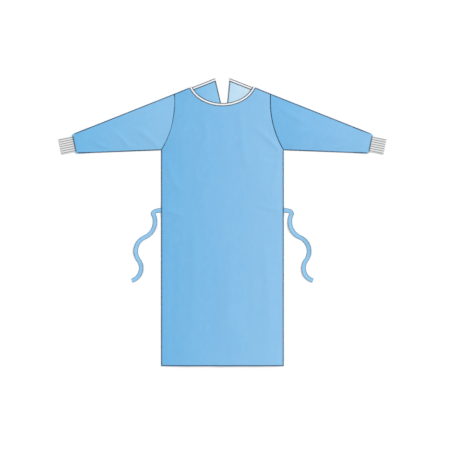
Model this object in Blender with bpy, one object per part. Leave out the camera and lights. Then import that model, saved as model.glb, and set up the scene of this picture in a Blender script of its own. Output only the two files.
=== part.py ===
"""A surgical gown laid out flat on its back, as the closed solids of its cut pieces.

Metres, +Z up. The back panels rest on the surface at Z = 0 and the front panel lies on them. Pieces are
drawn in the pattern's frame, with X across from the centre line and Y up from the hem, and each object is
then moved down by half the gown's length, so that the origin lies under the middle of the outline.
Left and right are as seen from above, at -X and +X. Every piece keeps GAP to its neighbours.
"""

import math
from collections import namedtuple

import bmesh
import bpy

# Cloth
CLOTH = 0.0010  # wall of the gown's cloth
GAP = 0.0003  # between pieces at their seams
LAYER = CLOTH + GAP  # what one more layer of cloth lifts the next by
CROWN = 0.0021  # how far the front lies off the back, away from the edges
CROWN_REACH = 0.110  # distance from an edge at which the crown is full

# Outline, in the pattern's frame
HALF_BODY = 0.285  # half of the body's flat width
UNDERARM = 1.006  # height of the underarm corner
SHOULDER_APEX = 1.3574  # height where the two shoulder lines would meet
SHOULDER_SLOPE = 0.397
ARMHOLE_TOP_X = 0.2245
ARMHOLE_SAGITTA = 0.021  # how far the armhole's arc bows in from its chord
ARMHOLE_PARTS = 5
RAW_EDGE_ROW = 0.024  # the last row of a panel's mesh lies this far below its upper edge

# Neckline: an ellipse, bound with a folded tape
NECK_CENTRE = 1.3377
NECK_HALF_WIDTH = 0.163
NECK_DEPTH = 0.127
BINDING_WIDTH = 0.014
BINDING_CLEARANCE = 0.0004  # between the tape's legs and the cloth that they hold
TAPE_LIFT = CLOTH + BINDING_CLEARANCE
SEAM_ALLOWANCE = 0.009  # cloth inside the binding
BINDING_WEB = 0.0013
BINDING_STATIONS = 32
RISE_REACH = 0.050  # over which cloth comes down from the binding

# Back opening: each back panel's centre edge starts at the neck and bends towards straight down
BackEdge = namedtuple("BackEdge", "tip_x slope reach")
BACK_EDGES = {
    "left": BackEdge(tip_x=-0.0361, slope=0.275, reach=0.131),
    "right": BackEdge(tip_x=0.0347, slope=-0.105, reach=-0.200),
}
OVERLAP_MARGIN = 0.015  # the upper back panel stays raised this far past the lower one's edge
OVERLAP_RAMP = 0.030
LAP_MIDDLE = 0.030  # the front rises over the doubled backs round this line
LAP_REACH = 0.100

# Sleeves and cuffs
SLEEVE_END_TOP_X = 0.6955
SLEEVE_END_LOW = (0.6762, 0.9911)
SLEEVE_STATIONS = (0.0, 0.12, 0.26, 0.42, 0.58, 0.72, 0.82, 0.90, 0.96, 1.0)
SLEEVE_GATHER_START = 0.80  # share of the sleeve where it begins to rise over the cuff
SLEEVE_GATHER_FULL = 0.955
MOUTH_REACH = 0.005  # from the sleeve's last full ring to its mouth
CUFF_TILT = math.radians(11.8)
CUFF_WIDTH = 0.074
CUFF_LENGTH = 0.0665
CUFF_WALL = 0.0015
CUFF_THICK = 0.0036
CUFF_INSERT = 0.008  # length of cuff held inside the sleeve
CUFF_SETTLE = 0.016  # over which the cuff comes down to the surface

# Ties: a lead-in and then arcs, measured along the tape; turn is positive to the left
Arc = namedtuple("Arc", "length turn")
TIE_WIDTH = 0.0195
TIE_HEIGHT = 0.7255  # of the tape's middle at the side seam
TIE_INSERT = 0.013
TIE_ARCS = (
    Arc(length=0.024, turn=18),
    Arc(length=0.006, turn=22),
    Arc(length=0.015, turn=74),
    Arc(length=0.125, turn=-90),
    Arc(length=0.127, turn=102),
    Arc(length=0.117, turn=-109),
)
TIE_STEP = 0.0085
TIE_EDGE_LIFT = 0.004  # how far the outer edge stands up at the middle of a bend

BODY_ROWS = (0.0, 0.11, 0.22, 0.33, 0.44, 0.54, 0.63, 0.685, 0.7115, 0.7395, 0.766, 0.85, 0.93)
BACK_ROWS = (0.0, 0.15, 0.30, 0.45, 0.60, 0.75, 0.88)

# Plan positions, on the shoulder line, of the columns that the panels' meshes share
SHOULDER_COLUMNS = (0.159, 0.183, 0.2085, ARMHOLE_TOP_X)
NECK_COLUMNS = 8
BACK_NECK_COLUMNS = (0.075, 0.110, 0.139, 0.150)

Finish = namedtuple("Finish", "colour roughness")
FINISHES = {
    "gown_cloth": Finish((0.21, 0.50, 0.80), 0.75),
    "neck_tape": Finish((0.86, 0.88, 0.90), 0.80),
    "cuff_knit": Finish((0.80, 0.80, 0.80), 0.90),
    "tie_tape": Finish((0.30, 0.55, 0.80), 0.75),
}


def smooth(share):
    """0 to 1 with no corner at either end."""
    share = min(max(share, 0.0), 1.0)
    return share * share * (3 - 2 * share)


def mix(a, b, share):
    return a + (b - a) * share


# The outline's curves


def shoulder_line(x):
    """Height of the straight line that runs from the neck over the shoulder to the sleeve's end."""
    return SHOULDER_APEX - SHOULDER_SLOPE * abs(x)


SHOULDER_COS = 1 / math.hypot(1, SHOULDER_SLOPE)
ARMHOLE_TOP = shoulder_line(ARMHOLE_TOP_X)
TIP_HEIGHT = shoulder_line(BACK_EDGES["right"].tip_x)
HALF_LENGTH = TIP_HEIGHT / 2


def armhole_x(y):
    """The armhole seam's distance from the centre line: an arc that bows in towards the body."""
    run, rise = HALF_BODY - ARMHOLE_TOP_X, ARMHOLE_TOP - UNDERARM
    chord = math.hypot(run, rise)
    radius = (chord**2 / 4 + ARMHOLE_SAGITTA**2) / (2 * ARMHOLE_SAGITTA)
    out = (radius - ARMHOLE_SAGITTA) / chord
    centre_x = (HALF_BODY + ARMHOLE_TOP_X) / 2 + rise * out
    centre_y = (ARMHOLE_TOP + UNDERARM) / 2 + run * out
    return centre_x - math.sqrt(radius**2 - (y - centre_y) ** 2)


def half_width(y):
    """Half the body's width at a height: straight sides, then the armholes."""
    return HALF_BODY if y <= UNDERARM else armhole_x(min(y, ARMHOLE_TOP))


def upper_rows(top):
    """Heights of a column's rows from the underarm to its upper edge."""
    last = top - RAW_EDGE_ROW
    rows = [mix(UNDERARM, last, k / ARMHOLE_PARTS) for k in range(ARMHOLE_PARTS + 1)]
    return rows + [top]


def neck_end_angle(inset):
    """Angle at which the neckline, moved in by inset, meets the shoulder line."""
    low, high = 0.0, math.pi / 2
    for _ in range(40):
        angle = (low + high) / 2
        x, y = neck_point(angle, inset)
        if y < shoulder_line(x):
            low = angle
        else:
            high = angle
    return low


def neck_point(angle, inset):
    """A point of the neckline's ellipse, moved in towards its middle by inset. Angle 0 is its lowest point."""
    x = (NECK_HALF_WIDTH - inset) * math.sin(angle)
    return x, NECK_CENTRE - (NECK_DEPTH - inset) * math.cos(angle)


def neck_row(share, inset):
    """A point share of the way from the neckline's middle (0) to the shoulder line (1 or -1)."""
    return neck_point(share * neck_end_angle(inset), inset)


def back_edge_x(side, y):
    """The centre edge of one back panel at a height."""
    edge = BACK_EDGES[side]
    return edge.tip_x + edge.reach * (1 - math.exp(-edge.slope * (TIP_HEIGHT - y) / edge.reach))


# How high each layer lies


def neck_rise(x, y):
    """The back panels rise onto the lower leg of the tape that binds their neck edge."""
    below = (shoulder_line(x) - y) * SHOULDER_COS
    away = math.hypot(max(0.0, abs(x) - 0.156), max(0.0, below - RAW_EDGE_ROW))
    return TAPE_LIFT * smooth(1 - away / RISE_REACH)


def overlap_rise(x, y):
    """The right back panel rises over the left one's edge."""
    past = back_edge_x("left", y) + OVERLAP_MARGIN + OVERLAP_RAMP - x
    return LAYER * smooth(past / OVERLAP_RAMP)


def edge_distance(x, y):
    """Distance from the nearest closed edge of the flat outline: sides, shoulders, and the sleeves' two edges."""
    x = abs(x)
    above = (shoulder_line(x) - y) * SHOULDER_COS
    if x > HALF_BODY:
        share = (x - HALF_BODY) / (SLEEVE_END_LOW[0] - HALF_BODY)
        return max(0.0, min(above, y - mix(UNDERARM, SLEEVE_END_LOW[1], share)))
    side = math.hypot(HALF_BODY - x, max(0.0, y - UNDERARM))
    return max(0.0, min(above, side))


def tie_bump(x, y):
    """The front rises over the end of the tie that is caught in the side seam."""
    along = 1 - max(0.0, abs(y - TIE_HEIGHT) - 0.014) / 0.028
    across = 1 - max(0.0, HALF_BODY - abs(x) - 0.021) / 0.050
    return LAYER * smooth(along) * smooth(across) if y < UNDERARM else 0.0


def front_height(x, y):
    """Height of the underside of the top layer: the front panel, and the upper half of each sleeve."""
    lap = LAYER * smooth(2 - abs(x - LAP_MIDDLE) / LAP_REACH)
    reach = math.hypot(x / NECK_HALF_WIDTH, (y - NECK_CENTRE) / NECK_DEPTH) - 1
    past_neck = max(0.0, reach * (NECK_HALF_WIDTH + NECK_DEPTH) / 2 - 0.008)
    on_tape = TAPE_LIFT * smooth(1 - past_neck / RISE_REACH)
    crown = smooth(edge_distance(x, y) / CROWN_REACH)
    return LAYER + neck_rise(x, y) + lap + mix(on_tape, CROWN, crown) + tie_bump(x, y)


# Building blocks


def finish_material(name):
    """The shared material of a finish, made once."""
    if name in bpy.data.materials:
        return bpy.data.materials[name]
    material = bpy.data.materials.new(name)
    material.use_nodes = True
    shader = material.node_tree.nodes["Principled BSDF"]
    shader.inputs["Base Color"].default_value = (*FINISHES[name].colour, 1)
    shader.inputs["Roughness"].default_value = FINISHES[name].roughness
    shader.inputs["Metallic"].default_value = 0.0
    return material


def add_object(name, finish, points, faces):
    """One closed piece, drawn in the pattern's frame and moved to the gown's own."""
    mesh = bpy.data.meshes.new(name)
    mesh.from_pydata(points, [], faces)
    work = bmesh.new()
    work.from_mesh(mesh)
    bmesh.ops.recalc_face_normals(work, faces=work.faces)
    work.to_mesh(mesh)
    work.free()
    mesh.materials.append(finish_material(finish))
    mesh.shade_smooth()
    mesh.set_sharp_from_angle(angle=math.radians(40))
    piece = bpy.data.objects.new(name, mesh)
    piece.location.y = -HALF_LENGTH
    bpy.context.scene.collection.objects.link(piece)
    return piece


def grid_piece(name, finish, rows):
    """A panel of cloth from rows of (x, y, height of its underside), walled CLOTH thick."""
    tall, wide = len(rows), len(rows[0])
    under = [point for row in rows for point in row]
    points = under + [(x, y, z + CLOTH) for x, y, z in under]
    count = len(under)
    faces = []
    for r in range(tall - 1):
        for c in range(wide - 1):
            quad = [r * wide + c, r * wide + c + 1, (r + 1) * wide + c + 1, (r + 1) * wide + c]
            faces.append(quad[::-1])
            faces.append([count + k for k in quad])
    rim = [c for c in range(wide)]
    rim += [r * wide + wide - 1 for r in range(1, tall)]
    rim += [(tall - 1) * wide + c for c in range(wide - 2, -1, -1)]
    rim += [r * wide for r in range(tall - 2, 0, -1)]
    for here, there in zip(rim, rim[1:] + rim[:1]):
        faces.append([here, there, count + there, count + here])
    return add_object(name, finish, points, faces)


def loft_piece(name, finish, rings, closed_ends):
    """A solid through rings of equal length. Open ends are a tube's: rings then hold the outer and inner loop."""
    faces, points = [], []
    loops = [[ring] for ring in rings] if closed_ends else rings
    layers = len(loops[0])
    size = len(loops[0][0])
    for station in loops:
        for loop in station:
            points += loop

    def index(station, layer, k):
        return (station * layers + layer) * size + k % size

    for station in range(len(loops) - 1):
        for layer in range(layers):
            for k in range(size):
                quad = [index(station, layer, k), index(station, layer, k + 1)]
                quad += [index(station + 1, layer, k + 1), index(station + 1, layer, k)]
                faces.append(quad)
    for station in (0, len(loops) - 1):
        if closed_ends:
            faces.append([index(station, 0, k) for k in range(size)])
            continue
        for k in range(size):
            quad = [index(station, 0, k), index(station, 0, k + 1)]
            quad += [index(station, 1, k + 1), index(station, 1, k)]
            faces.append(quad)
    return add_object(name, finish, points, faces)


def flat_loop(width, radius, inner):
    """A flattened tube's section: (distance across, level from 0 below to 1 above), once round.

    inner holds the distances of the points between the rounded sides, as shares of the width.
    """
    angles = [math.radians(a) for a in (30, 60, 90)]
    near = [(radius * (1 - math.cos(a)), math.sin(a) / 2) for a in angles]
    far = [(width - across, lift) for across, lift in reversed(near)]
    middle = [(share * width, 0.5) for share in inner]
    upper = near + middle + far
    loop = [(0.0, 0.5)] + [(across, 0.5 + lift) for across, lift in upper]
    loop += [(width, 0.5)] + [(across, 0.5 - lift) for across, lift in reversed(upper)]
    return loop


# The pieces


def build_front_panel():
    """The front, from hem to shoulders, with its neck edge inside the binding."""
    columns = []
    for k in range(NECK_COLUMNS + 1):
        columns.append(neck_row(k / NECK_COLUMNS, SEAM_ALLOWANCE))
    columns += [(x, shoulder_line(x)) for x in SHOULDER_COLUMNS]
    columns = [(-x, y) for x, y in reversed(columns[1:])] + columns
    lines = []
    for x_top, y_top in columns:
        share = x_top / half_width(y_top)
        heights = list(BODY_ROWS) + upper_rows(y_top)
        lines.append([(share * half_width(y), y) for y in heights])
    rows = []
    for r in range(len(lines[0])):
        rows.append([(*line[r], front_height(*line[r])) for line in lines])
    return grid_piece("front_panel", "gown_cloth", rows)


def back_neck_inset(x):
    """How far a back panel's cut edge lies below the shoulder line: inside the binding, then at the seam."""
    bound = 1 - smooth((abs(x) - 0.139) / 0.011)
    return (BINDING_WIDTH - SEAM_ALLOWANCE) / SHOULDER_COS * bound


def column_top(x_of):
    """The height at which a column, whose x at a height is x_of, ends at the neck or shoulder."""
    y = ARMHOLE_TOP
    for _ in range(12):
        x = x_of(y)
        y = shoulder_line(x) - back_neck_inset(x)
    return y


def build_back_panel(side):
    """One back panel. The right one overlaps the left one from just below the neck."""
    sign = -1 if side == "left" else 1
    tip = abs(BACK_EDGES[side].tip_x)

    def turn(y):
        """Where the overlap's ramp begins on the right panel."""
        over = back_edge_x("left", y) + OVERLAP_MARGIN
        return max(over, back_edge_x("right", y) + 0.02)

    def rail(share, y):
        start = back_edge_x("left", y) if side == "left" else turn(y) + OVERLAP_RAMP
        return mix(start, sign * half_width(y), share)

    start = tip if side == "left" else abs(turn(TIP_HEIGHT)) + OVERLAP_RAMP
    marks = [x for x in BACK_NECK_COLUMNS if x > start + 0.01] + list(SHOULDER_COLUMNS)
    shares = [(x - start) / (ARMHOLE_TOP_X - start) for x in marks]
    rails = [lambda y, s=s: rail(s, y) for s in [0.0] + shares]
    if side == "right":
        edge = [
            lambda y: back_edge_x("right", y),
            lambda y: mix(back_edge_x("right", y), turn(y), 0.5),
            turn,
            lambda y: turn(y) + OVERLAP_RAMP / 2,
        ]
        rails = edge + rails
    rows = []
    lines = [list(BACK_ROWS) + upper_rows(column_top(x_of)) for x_of in rails]
    for r in range(len(lines[0])):
        row = []
        for x_of, heights in zip(rails, lines):
            x, y = x_of(heights[r]), heights[r]
            rise = overlap_rise(x, y) if side == "right" else 0.0
            row.append((x, y, neck_rise(x, y) + rise))
        rows.append(row)
    return grid_piece(f"back_panel_{side}", "gown_cloth", rows)


def tape_section():
    """The folded tape in section: (distance in from its open edge, height above the cloth's underside)."""
    top = CLOTH + BINDING_CLEARANCE
    slot = BINDING_WIDTH - BINDING_WEB
    low, high = -BINDING_CLEARANCE - CLOTH, top + CLOTH
    return [
        (0.0, top),
        (0.0, high),
        (BINDING_WIDTH - 0.0012, high),
        (BINDING_WIDTH, high - 0.0012),
        (BINDING_WIDTH, low + 0.0012),
        (BINDING_WIDTH - 0.0012, low),
        (0.0, low),
        (0.0, -BINDING_CLEARANCE),
        (slot, -BINDING_CLEARANCE),
        (slot, top),
    ]


def build_front_binding():
    """The tape folded over the front's neck edge, from shoulder to shoulder."""
    rings = []
    for k in range(BINDING_STATIONS + 1):
        share = 2 * k / BINDING_STATIONS - 1
        ring = []
        for inset, height in tape_section():
            x, y = neck_row(share, inset)
            ring.append((x, y, front_height(x, y) + height))
        rings.append(ring)
    return loft_piece("neck_binding_front", "neck_tape", rings, closed_ends=True)


def build_back_binding(side):
    """The tape folded over one back panel's neck edge, from the front binding to the back opening."""
    sign = -1 if side == "left" else 1
    parts = 6
    rings = []
    for k in range(parts + 1):
        ring = []
        for inset, height in tape_section():
            below = (BINDING_WIDTH - inset) / SHOULDER_COS
            outer = binding_start(below)
            y_in = shoulder_line(BACK_EDGES[side].tip_x) - below
            inner = abs(back_edge_x(side, y_in))
            if side == "left":
                inner = -back_edge_x(side, y_in)
            x = sign * mix(outer, inner, k / parts)
            ring.append((x, shoulder_line(x) - below, TAPE_LIFT + height))
        rings.append(ring)
    return loft_piece(f"neck_binding_back_{side}", "neck_tape", rings, closed_ends=True)


def binding_start(below):
    """Where a line this far below the shoulder line meets the inner edge of the front binding."""
    low, high = 0.0, NECK_HALF_WIDTH - BINDING_WIDTH
    for _ in range(40):
        x = (low + high) / 2
        span = 1 - (x / (NECK_HALF_WIDTH - BINDING_WIDTH)) ** 2
        neck = NECK_CENTRE - (NECK_DEPTH - BINDING_WIDTH) * math.sqrt(span)
        if neck < shoulder_line(x) - below:
            low = x
        else:
            high = x
    return low - 2 * GAP


def sleeve_point(station, share):
    """A sleeve's plan at a station from armhole (0) to end (1), share of the way from its upper edge down."""
    y = mix(ARMHOLE_TOP, UNDERARM, share)
    x = armhole_x(y) + GAP
    end_x = mix(SLEEVE_END_TOP_X, SLEEVE_END_LOW[0], share)
    end_y = mix(shoulder_line(SLEEVE_END_TOP_X), SLEEVE_END_LOW[1], share)
    return mix(x, end_x, station), mix(y, end_y, station)


def cuff_axis():
    """(where the cuff's middle line leaves the sleeve's mouth, its direction, the direction across it)."""
    top = sleeve_point(1.0, 0.0)
    low = sleeve_point(1.0, 1.0)
    out = (math.cos(CUFF_TILT), -math.sin(CUFF_TILT))
    across = (-math.sin(CUFF_TILT), -math.cos(CUFF_TILT))
    x = (top[0] + low[0]) / 2 + out[0] * MOUTH_REACH
    y = (top[1] + low[1]) / 2 + out[1] * MOUTH_REACH
    return (x, y), out, across


def build_sleeve(side):
    """A flattened tube: folded along its upper edge, seamed along its lower one, gathered to the cuff."""
    sign = -1 if side == "left" else 1
    heights = upper_rows(ARMHOLE_TOP)[1:-1]
    inner_shares = [(ARMHOLE_TOP - y) / (ARMHOLE_TOP - UNDERARM) for y in reversed(heights)]
    rings = []
    for station in SLEEVE_STATIONS:
        top, low = sleeve_point(station, 0.0), sleeve_point(station, 1.0)
        width = math.dist(top, low)
        gather = smooth((station - SLEEVE_GATHER_START) / (SLEEVE_GATHER_FULL - SLEEVE_GATHER_START))
        lift = (CUFF_THICK + GAP) * gather
        loops = []
        for wall in (0.0, CLOTH):
            radius = (2 * CLOTH + GAP + lift) / 2 - wall
            loop = []
            for across, level in flat_loop(width - 2 * wall, radius, inner_shares):
                x, y = sleeve_point(station, (across + wall) / width)
                above = CROWN * smooth(edge_distance(x, y) / CROWN_REACH) * gather
                high = front_height(x, y) - above + lift + CLOTH - wall
                loop.append((sign * x, y, mix(wall, high, level)))
            loops.append(loop)
        rings.append(loops)
    (x, y), _, across = cuff_axis()
    loops = []
    for wall in (0.0, CLOTH):
        width = CUFF_WIDTH + 2 * (GAP + CLOTH - wall)
        high = LAYER + CUFF_THICK + GAP + CLOTH - wall
        loop = []
        for distance, level in flat_loop(width, (high - wall) / 2, inner_shares):
            aside = distance - width / 2
            plan = (sign * (x + across[0] * aside), y + across[1] * aside)
            loop.append((*plan, mix(wall, high, level)))
        loops.append(loop)
    rings.append(loops)
    return loft_piece(f"sleeve_{side}", "gown_cloth", rings, closed_ends=False)


def build_cuff(side):
    """A flattened tube of knit, its inner end held in the sleeve's mouth."""
    sign = -1 if side == "left" else 1
    (x, y), out, across = cuff_axis()
    inner_shares = [0.2, 0.4, 0.6, 0.8]
    rings = []
    for along in (-CUFF_INSERT, 0.0005, CUFF_SETTLE, CUFF_LENGTH / 2, CUFF_LENGTH):
        low = LAYER * (1 - smooth((along - 0.0005) / (CUFF_SETTLE - 0.0005)))
        loops = []
        for wall in (0.0, CUFF_WALL):
            width = CUFF_WIDTH - 2 * wall
            loop = []
            for distance, level in flat_loop(width, CUFF_THICK / 2 - wall, inner_shares):
                aside = distance - width / 2
                plan_x = x + out[0] * along + across[0] * aside
                plan_y = y + out[1] * along + across[1] * aside
                loop.append((sign * plan_x, plan_y, low + mix(wall, CUFF_THICK - wall, level)))
            loops.append(loop)
        rings.append(loops)
    return loft_piece(f"cuff_{side}", "cuff_knit", rings, closed_ends=False)


def tie_route():
    """Stations along the left tie: (x, y, heading, share of the outer edge's lift, distance from its end)."""
    x, y, heading = -HALF_BODY + TIE_INSERT, TIE_HEIGHT, math.pi
    stations = [(x, y, heading, 0.0, 0.0)]
    gone = TIE_INSERT + 0.004
    x -= gone
    stations.append((x, y, heading, 0.0, gone))
    for arc in TIE_ARCS:
        parts = max(1, round(arc.length / TIE_STEP))
        step = arc.length / parts
        turn = math.radians(arc.turn) / parts
        for k in range(parts):
            x += step * math.cos(heading + turn / 2)
            y += step * math.sin(heading + turn / 2)
            heading += turn
            gone += step
            bend = math.copysign(math.sin(math.pi * (k + 1) / parts), arc.turn)
            stations.append((x, y, heading, bend if arc.length > 0.05 else 0.0, gone))
    return stations


def build_tie(side):
    """A tape caught in the side seam, loose on the surface, its outer edge standing up a little in the bends."""
    sign = -1 if side == "left" else 1
    rows = []
    for x, y, heading, bend, gone in tie_route():
        base = LAYER * (1 - smooth((gone - TIE_INSERT - 0.004) / 0.024))
        row = []
        for across in (-0.5, -0.25, 0.0, 0.25, 0.5):
            outward = 0.5 + across * (1 if bend > 0 else -1)
            lift = TIE_EDGE_LIFT * abs(bend) * outward**2
            plan_x = x + math.sin(heading) * across * TIE_WIDTH
            plan_y = y - math.cos(heading) * across * TIE_WIDTH
            row.append((-sign * plan_x, plan_y, base + lift))
        rows.append(row)
    return grid_piece(f"tie_{side}", "tie_tape", rows)


def build_gown():
    """Every piece of the gown, each as its own object."""
    build_front_panel()
    build_front_binding()
    for side in ("left", "right"):
        build_back_panel(side)
        build_back_binding(side)
        build_sleeve(side)
        build_cuff(side)
        build_tie(side)


for leftover in list(bpy.data.objects):
    bpy.data.objects.remove(leftover)
build_gown()
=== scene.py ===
"""A surgical gown of light blue sheet cloth laid out flat on its back: its cloth, knit, tapes and thread.

Metres, +Z up. Everything is worked out in the pattern's frame, with X across from the centre line and Y up
from the hem, and moves down by half the gown's length when its mesh is made. Left and right are as seen from
above, at -X and +X.
"""

import logging
import math
from collections.abc import Callable, Mapping, Sequence
from dataclasses import dataclass, field
from enum import Enum
from functools import partial
from typing import Any

import bmesh
import bpy
import numpy as np
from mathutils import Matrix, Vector


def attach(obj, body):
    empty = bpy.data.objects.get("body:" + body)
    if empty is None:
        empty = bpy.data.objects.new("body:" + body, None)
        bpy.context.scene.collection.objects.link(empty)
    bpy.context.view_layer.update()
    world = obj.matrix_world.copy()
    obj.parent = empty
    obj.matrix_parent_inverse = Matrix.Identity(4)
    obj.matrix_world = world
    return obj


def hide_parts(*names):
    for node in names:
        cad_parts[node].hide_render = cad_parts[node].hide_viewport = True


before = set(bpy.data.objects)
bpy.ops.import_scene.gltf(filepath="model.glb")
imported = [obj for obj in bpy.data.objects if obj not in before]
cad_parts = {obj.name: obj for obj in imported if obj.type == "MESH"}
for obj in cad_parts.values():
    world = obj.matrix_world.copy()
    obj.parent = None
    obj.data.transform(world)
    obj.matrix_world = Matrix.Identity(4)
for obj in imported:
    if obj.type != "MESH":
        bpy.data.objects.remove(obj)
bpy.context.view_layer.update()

log = logging.getLogger("gown")

Height = Callable[[np.ndarray, np.ndarray], np.ndarray]
BODY = "root"
STUDIO_LEVEL = 1.25  # how much brighter than its own colour a level matt surface shows
THREAD_TAPER = 0.55  # radius of a thread's two ends, as a share of the rest


class Side(Enum):
    """A side of the gown as seen from above."""

    LEFT = -1
    RIGHT = 1

    @property
    def word(self) -> str:
        """The side's name as it stands in the names of pieces."""
        return self.name.lower()


class Slot(Enum):
    """The record's finishes."""

    CLOTH = "gown_cloth"
    NECK = "neck_tape"
    KNIT = "cuff_knit"
    TAPE = "tie_tape"


# ------------------------------------------------------------------------------------ number helpers


def smooth(share: np.ndarray | float) -> np.ndarray:
    """A step from 0 to 1 with no corner at either end.

    Args:
        share: where on the step, 0 at its start and 1 at its end.

    Returns:
        The eased share.
    """
    share = np.clip(share, 0.0, 1.0)
    return share * share * (3 - 2 * share)


def rounded(share: np.ndarray | float) -> np.ndarray:
    """A quarter of an ellipse, from 0 at an edge to 1 inside it.

    Args:
        share: distance from the edge over the width of the rounding.

    Returns:
        The height over the full height.
    """
    share = np.clip(share, 0.0, 1.0)
    return np.sqrt(1 - (1 - share) ** 2)


def mix(a: Any, b: Any, share: Any) -> Any:
    """The value share of the way from a to b."""
    return a + (b - a) * share


def bell(distance: np.ndarray, width: float) -> np.ndarray:
    """A soft bump of height 1 that is about width wide on each side."""
    return np.exp(-((distance / width) ** 2))


def level_face(height: float) -> Height:
    """A face that lies level.

    Args:
        height: its height.

    Returns:
        The function that gives this height at every point.
    """

    def face(x: np.ndarray, y: np.ndarray) -> np.ndarray:
        """The same height at every point."""
        return np.full_like(x, height)

    return face


def dye(red: float, green: float, blue: float) -> tuple[float, float, float, float]:
    """A matt surface's own colour, from the colour, 0 to 255, that it shows on a screen in the studio.

    Args:
        red: share of red, 0 to 255.
        green: share of green.
        blue: share of blue.

    Returns:
        The colour with its alpha of 1.
    """
    shares = [v / 255 for v in (red, green, blue)]
    shown = [s / 12.92 if s < 0.04045 else ((s + 0.055) / 1.055) ** 2.4 for s in shares]
    return (*[s / STUDIO_LEVEL for s in shown], 1.0)


class Ripple:
    """Smooth unevenness without a pattern, from a seeded lattice of numbers."""

    POINTS = 96

    def __init__(self, seed: int, cell: float, lean: float = 1.0) -> None:
        """Draws the lattice.

        Args:
            seed: which lattice.
            cell: the distance between its points across.
            lean: how much longer its cells are along the gown than across it.
        """
        self.cells = (cell, cell * lean)
        self.lattice = np.random.default_rng(seed).uniform(-1, 1, (self.POINTS, self.POINTS))

    def __call__(self, x: np.ndarray, y: np.ndarray) -> np.ndarray:
        """The unevenness, from -1 to 1, at points in plan.

        Args:
            x: places across from the centre line.
            y: places up from the hem.

        Returns:
            The unevenness.
        """
        gx, gy = x / self.cells[0] + self.POINTS / 2, y / self.cells[1] + self.POINTS / 2
        ix, iy = np.floor(gx).astype(int), np.floor(gy).astype(int)
        sx, sy = smooth(gx - ix), smooth(gy - iy)
        near = mix(self._point(ix, iy), self._point(ix + 1, iy), sx)
        far = mix(self._point(ix, iy + 1), self._point(ix + 1, iy + 1), sx)
        return mix(near, far, sy)

    def _point(self, ix: np.ndarray, iy: np.ndarray) -> np.ndarray:
        """The lattice's numbers, which repeat past its edges."""
        return self.lattice[ix % self.POINTS, iy % self.POINTS]


# --------------------------------------------------------------------------------------- the pattern


@dataclass(frozen=True)
class BackEdge:
    """A back panel's centre edge: it starts at the neck and bends towards straight down."""

    tip_x: float
    slope: float
    reach: float


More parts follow.
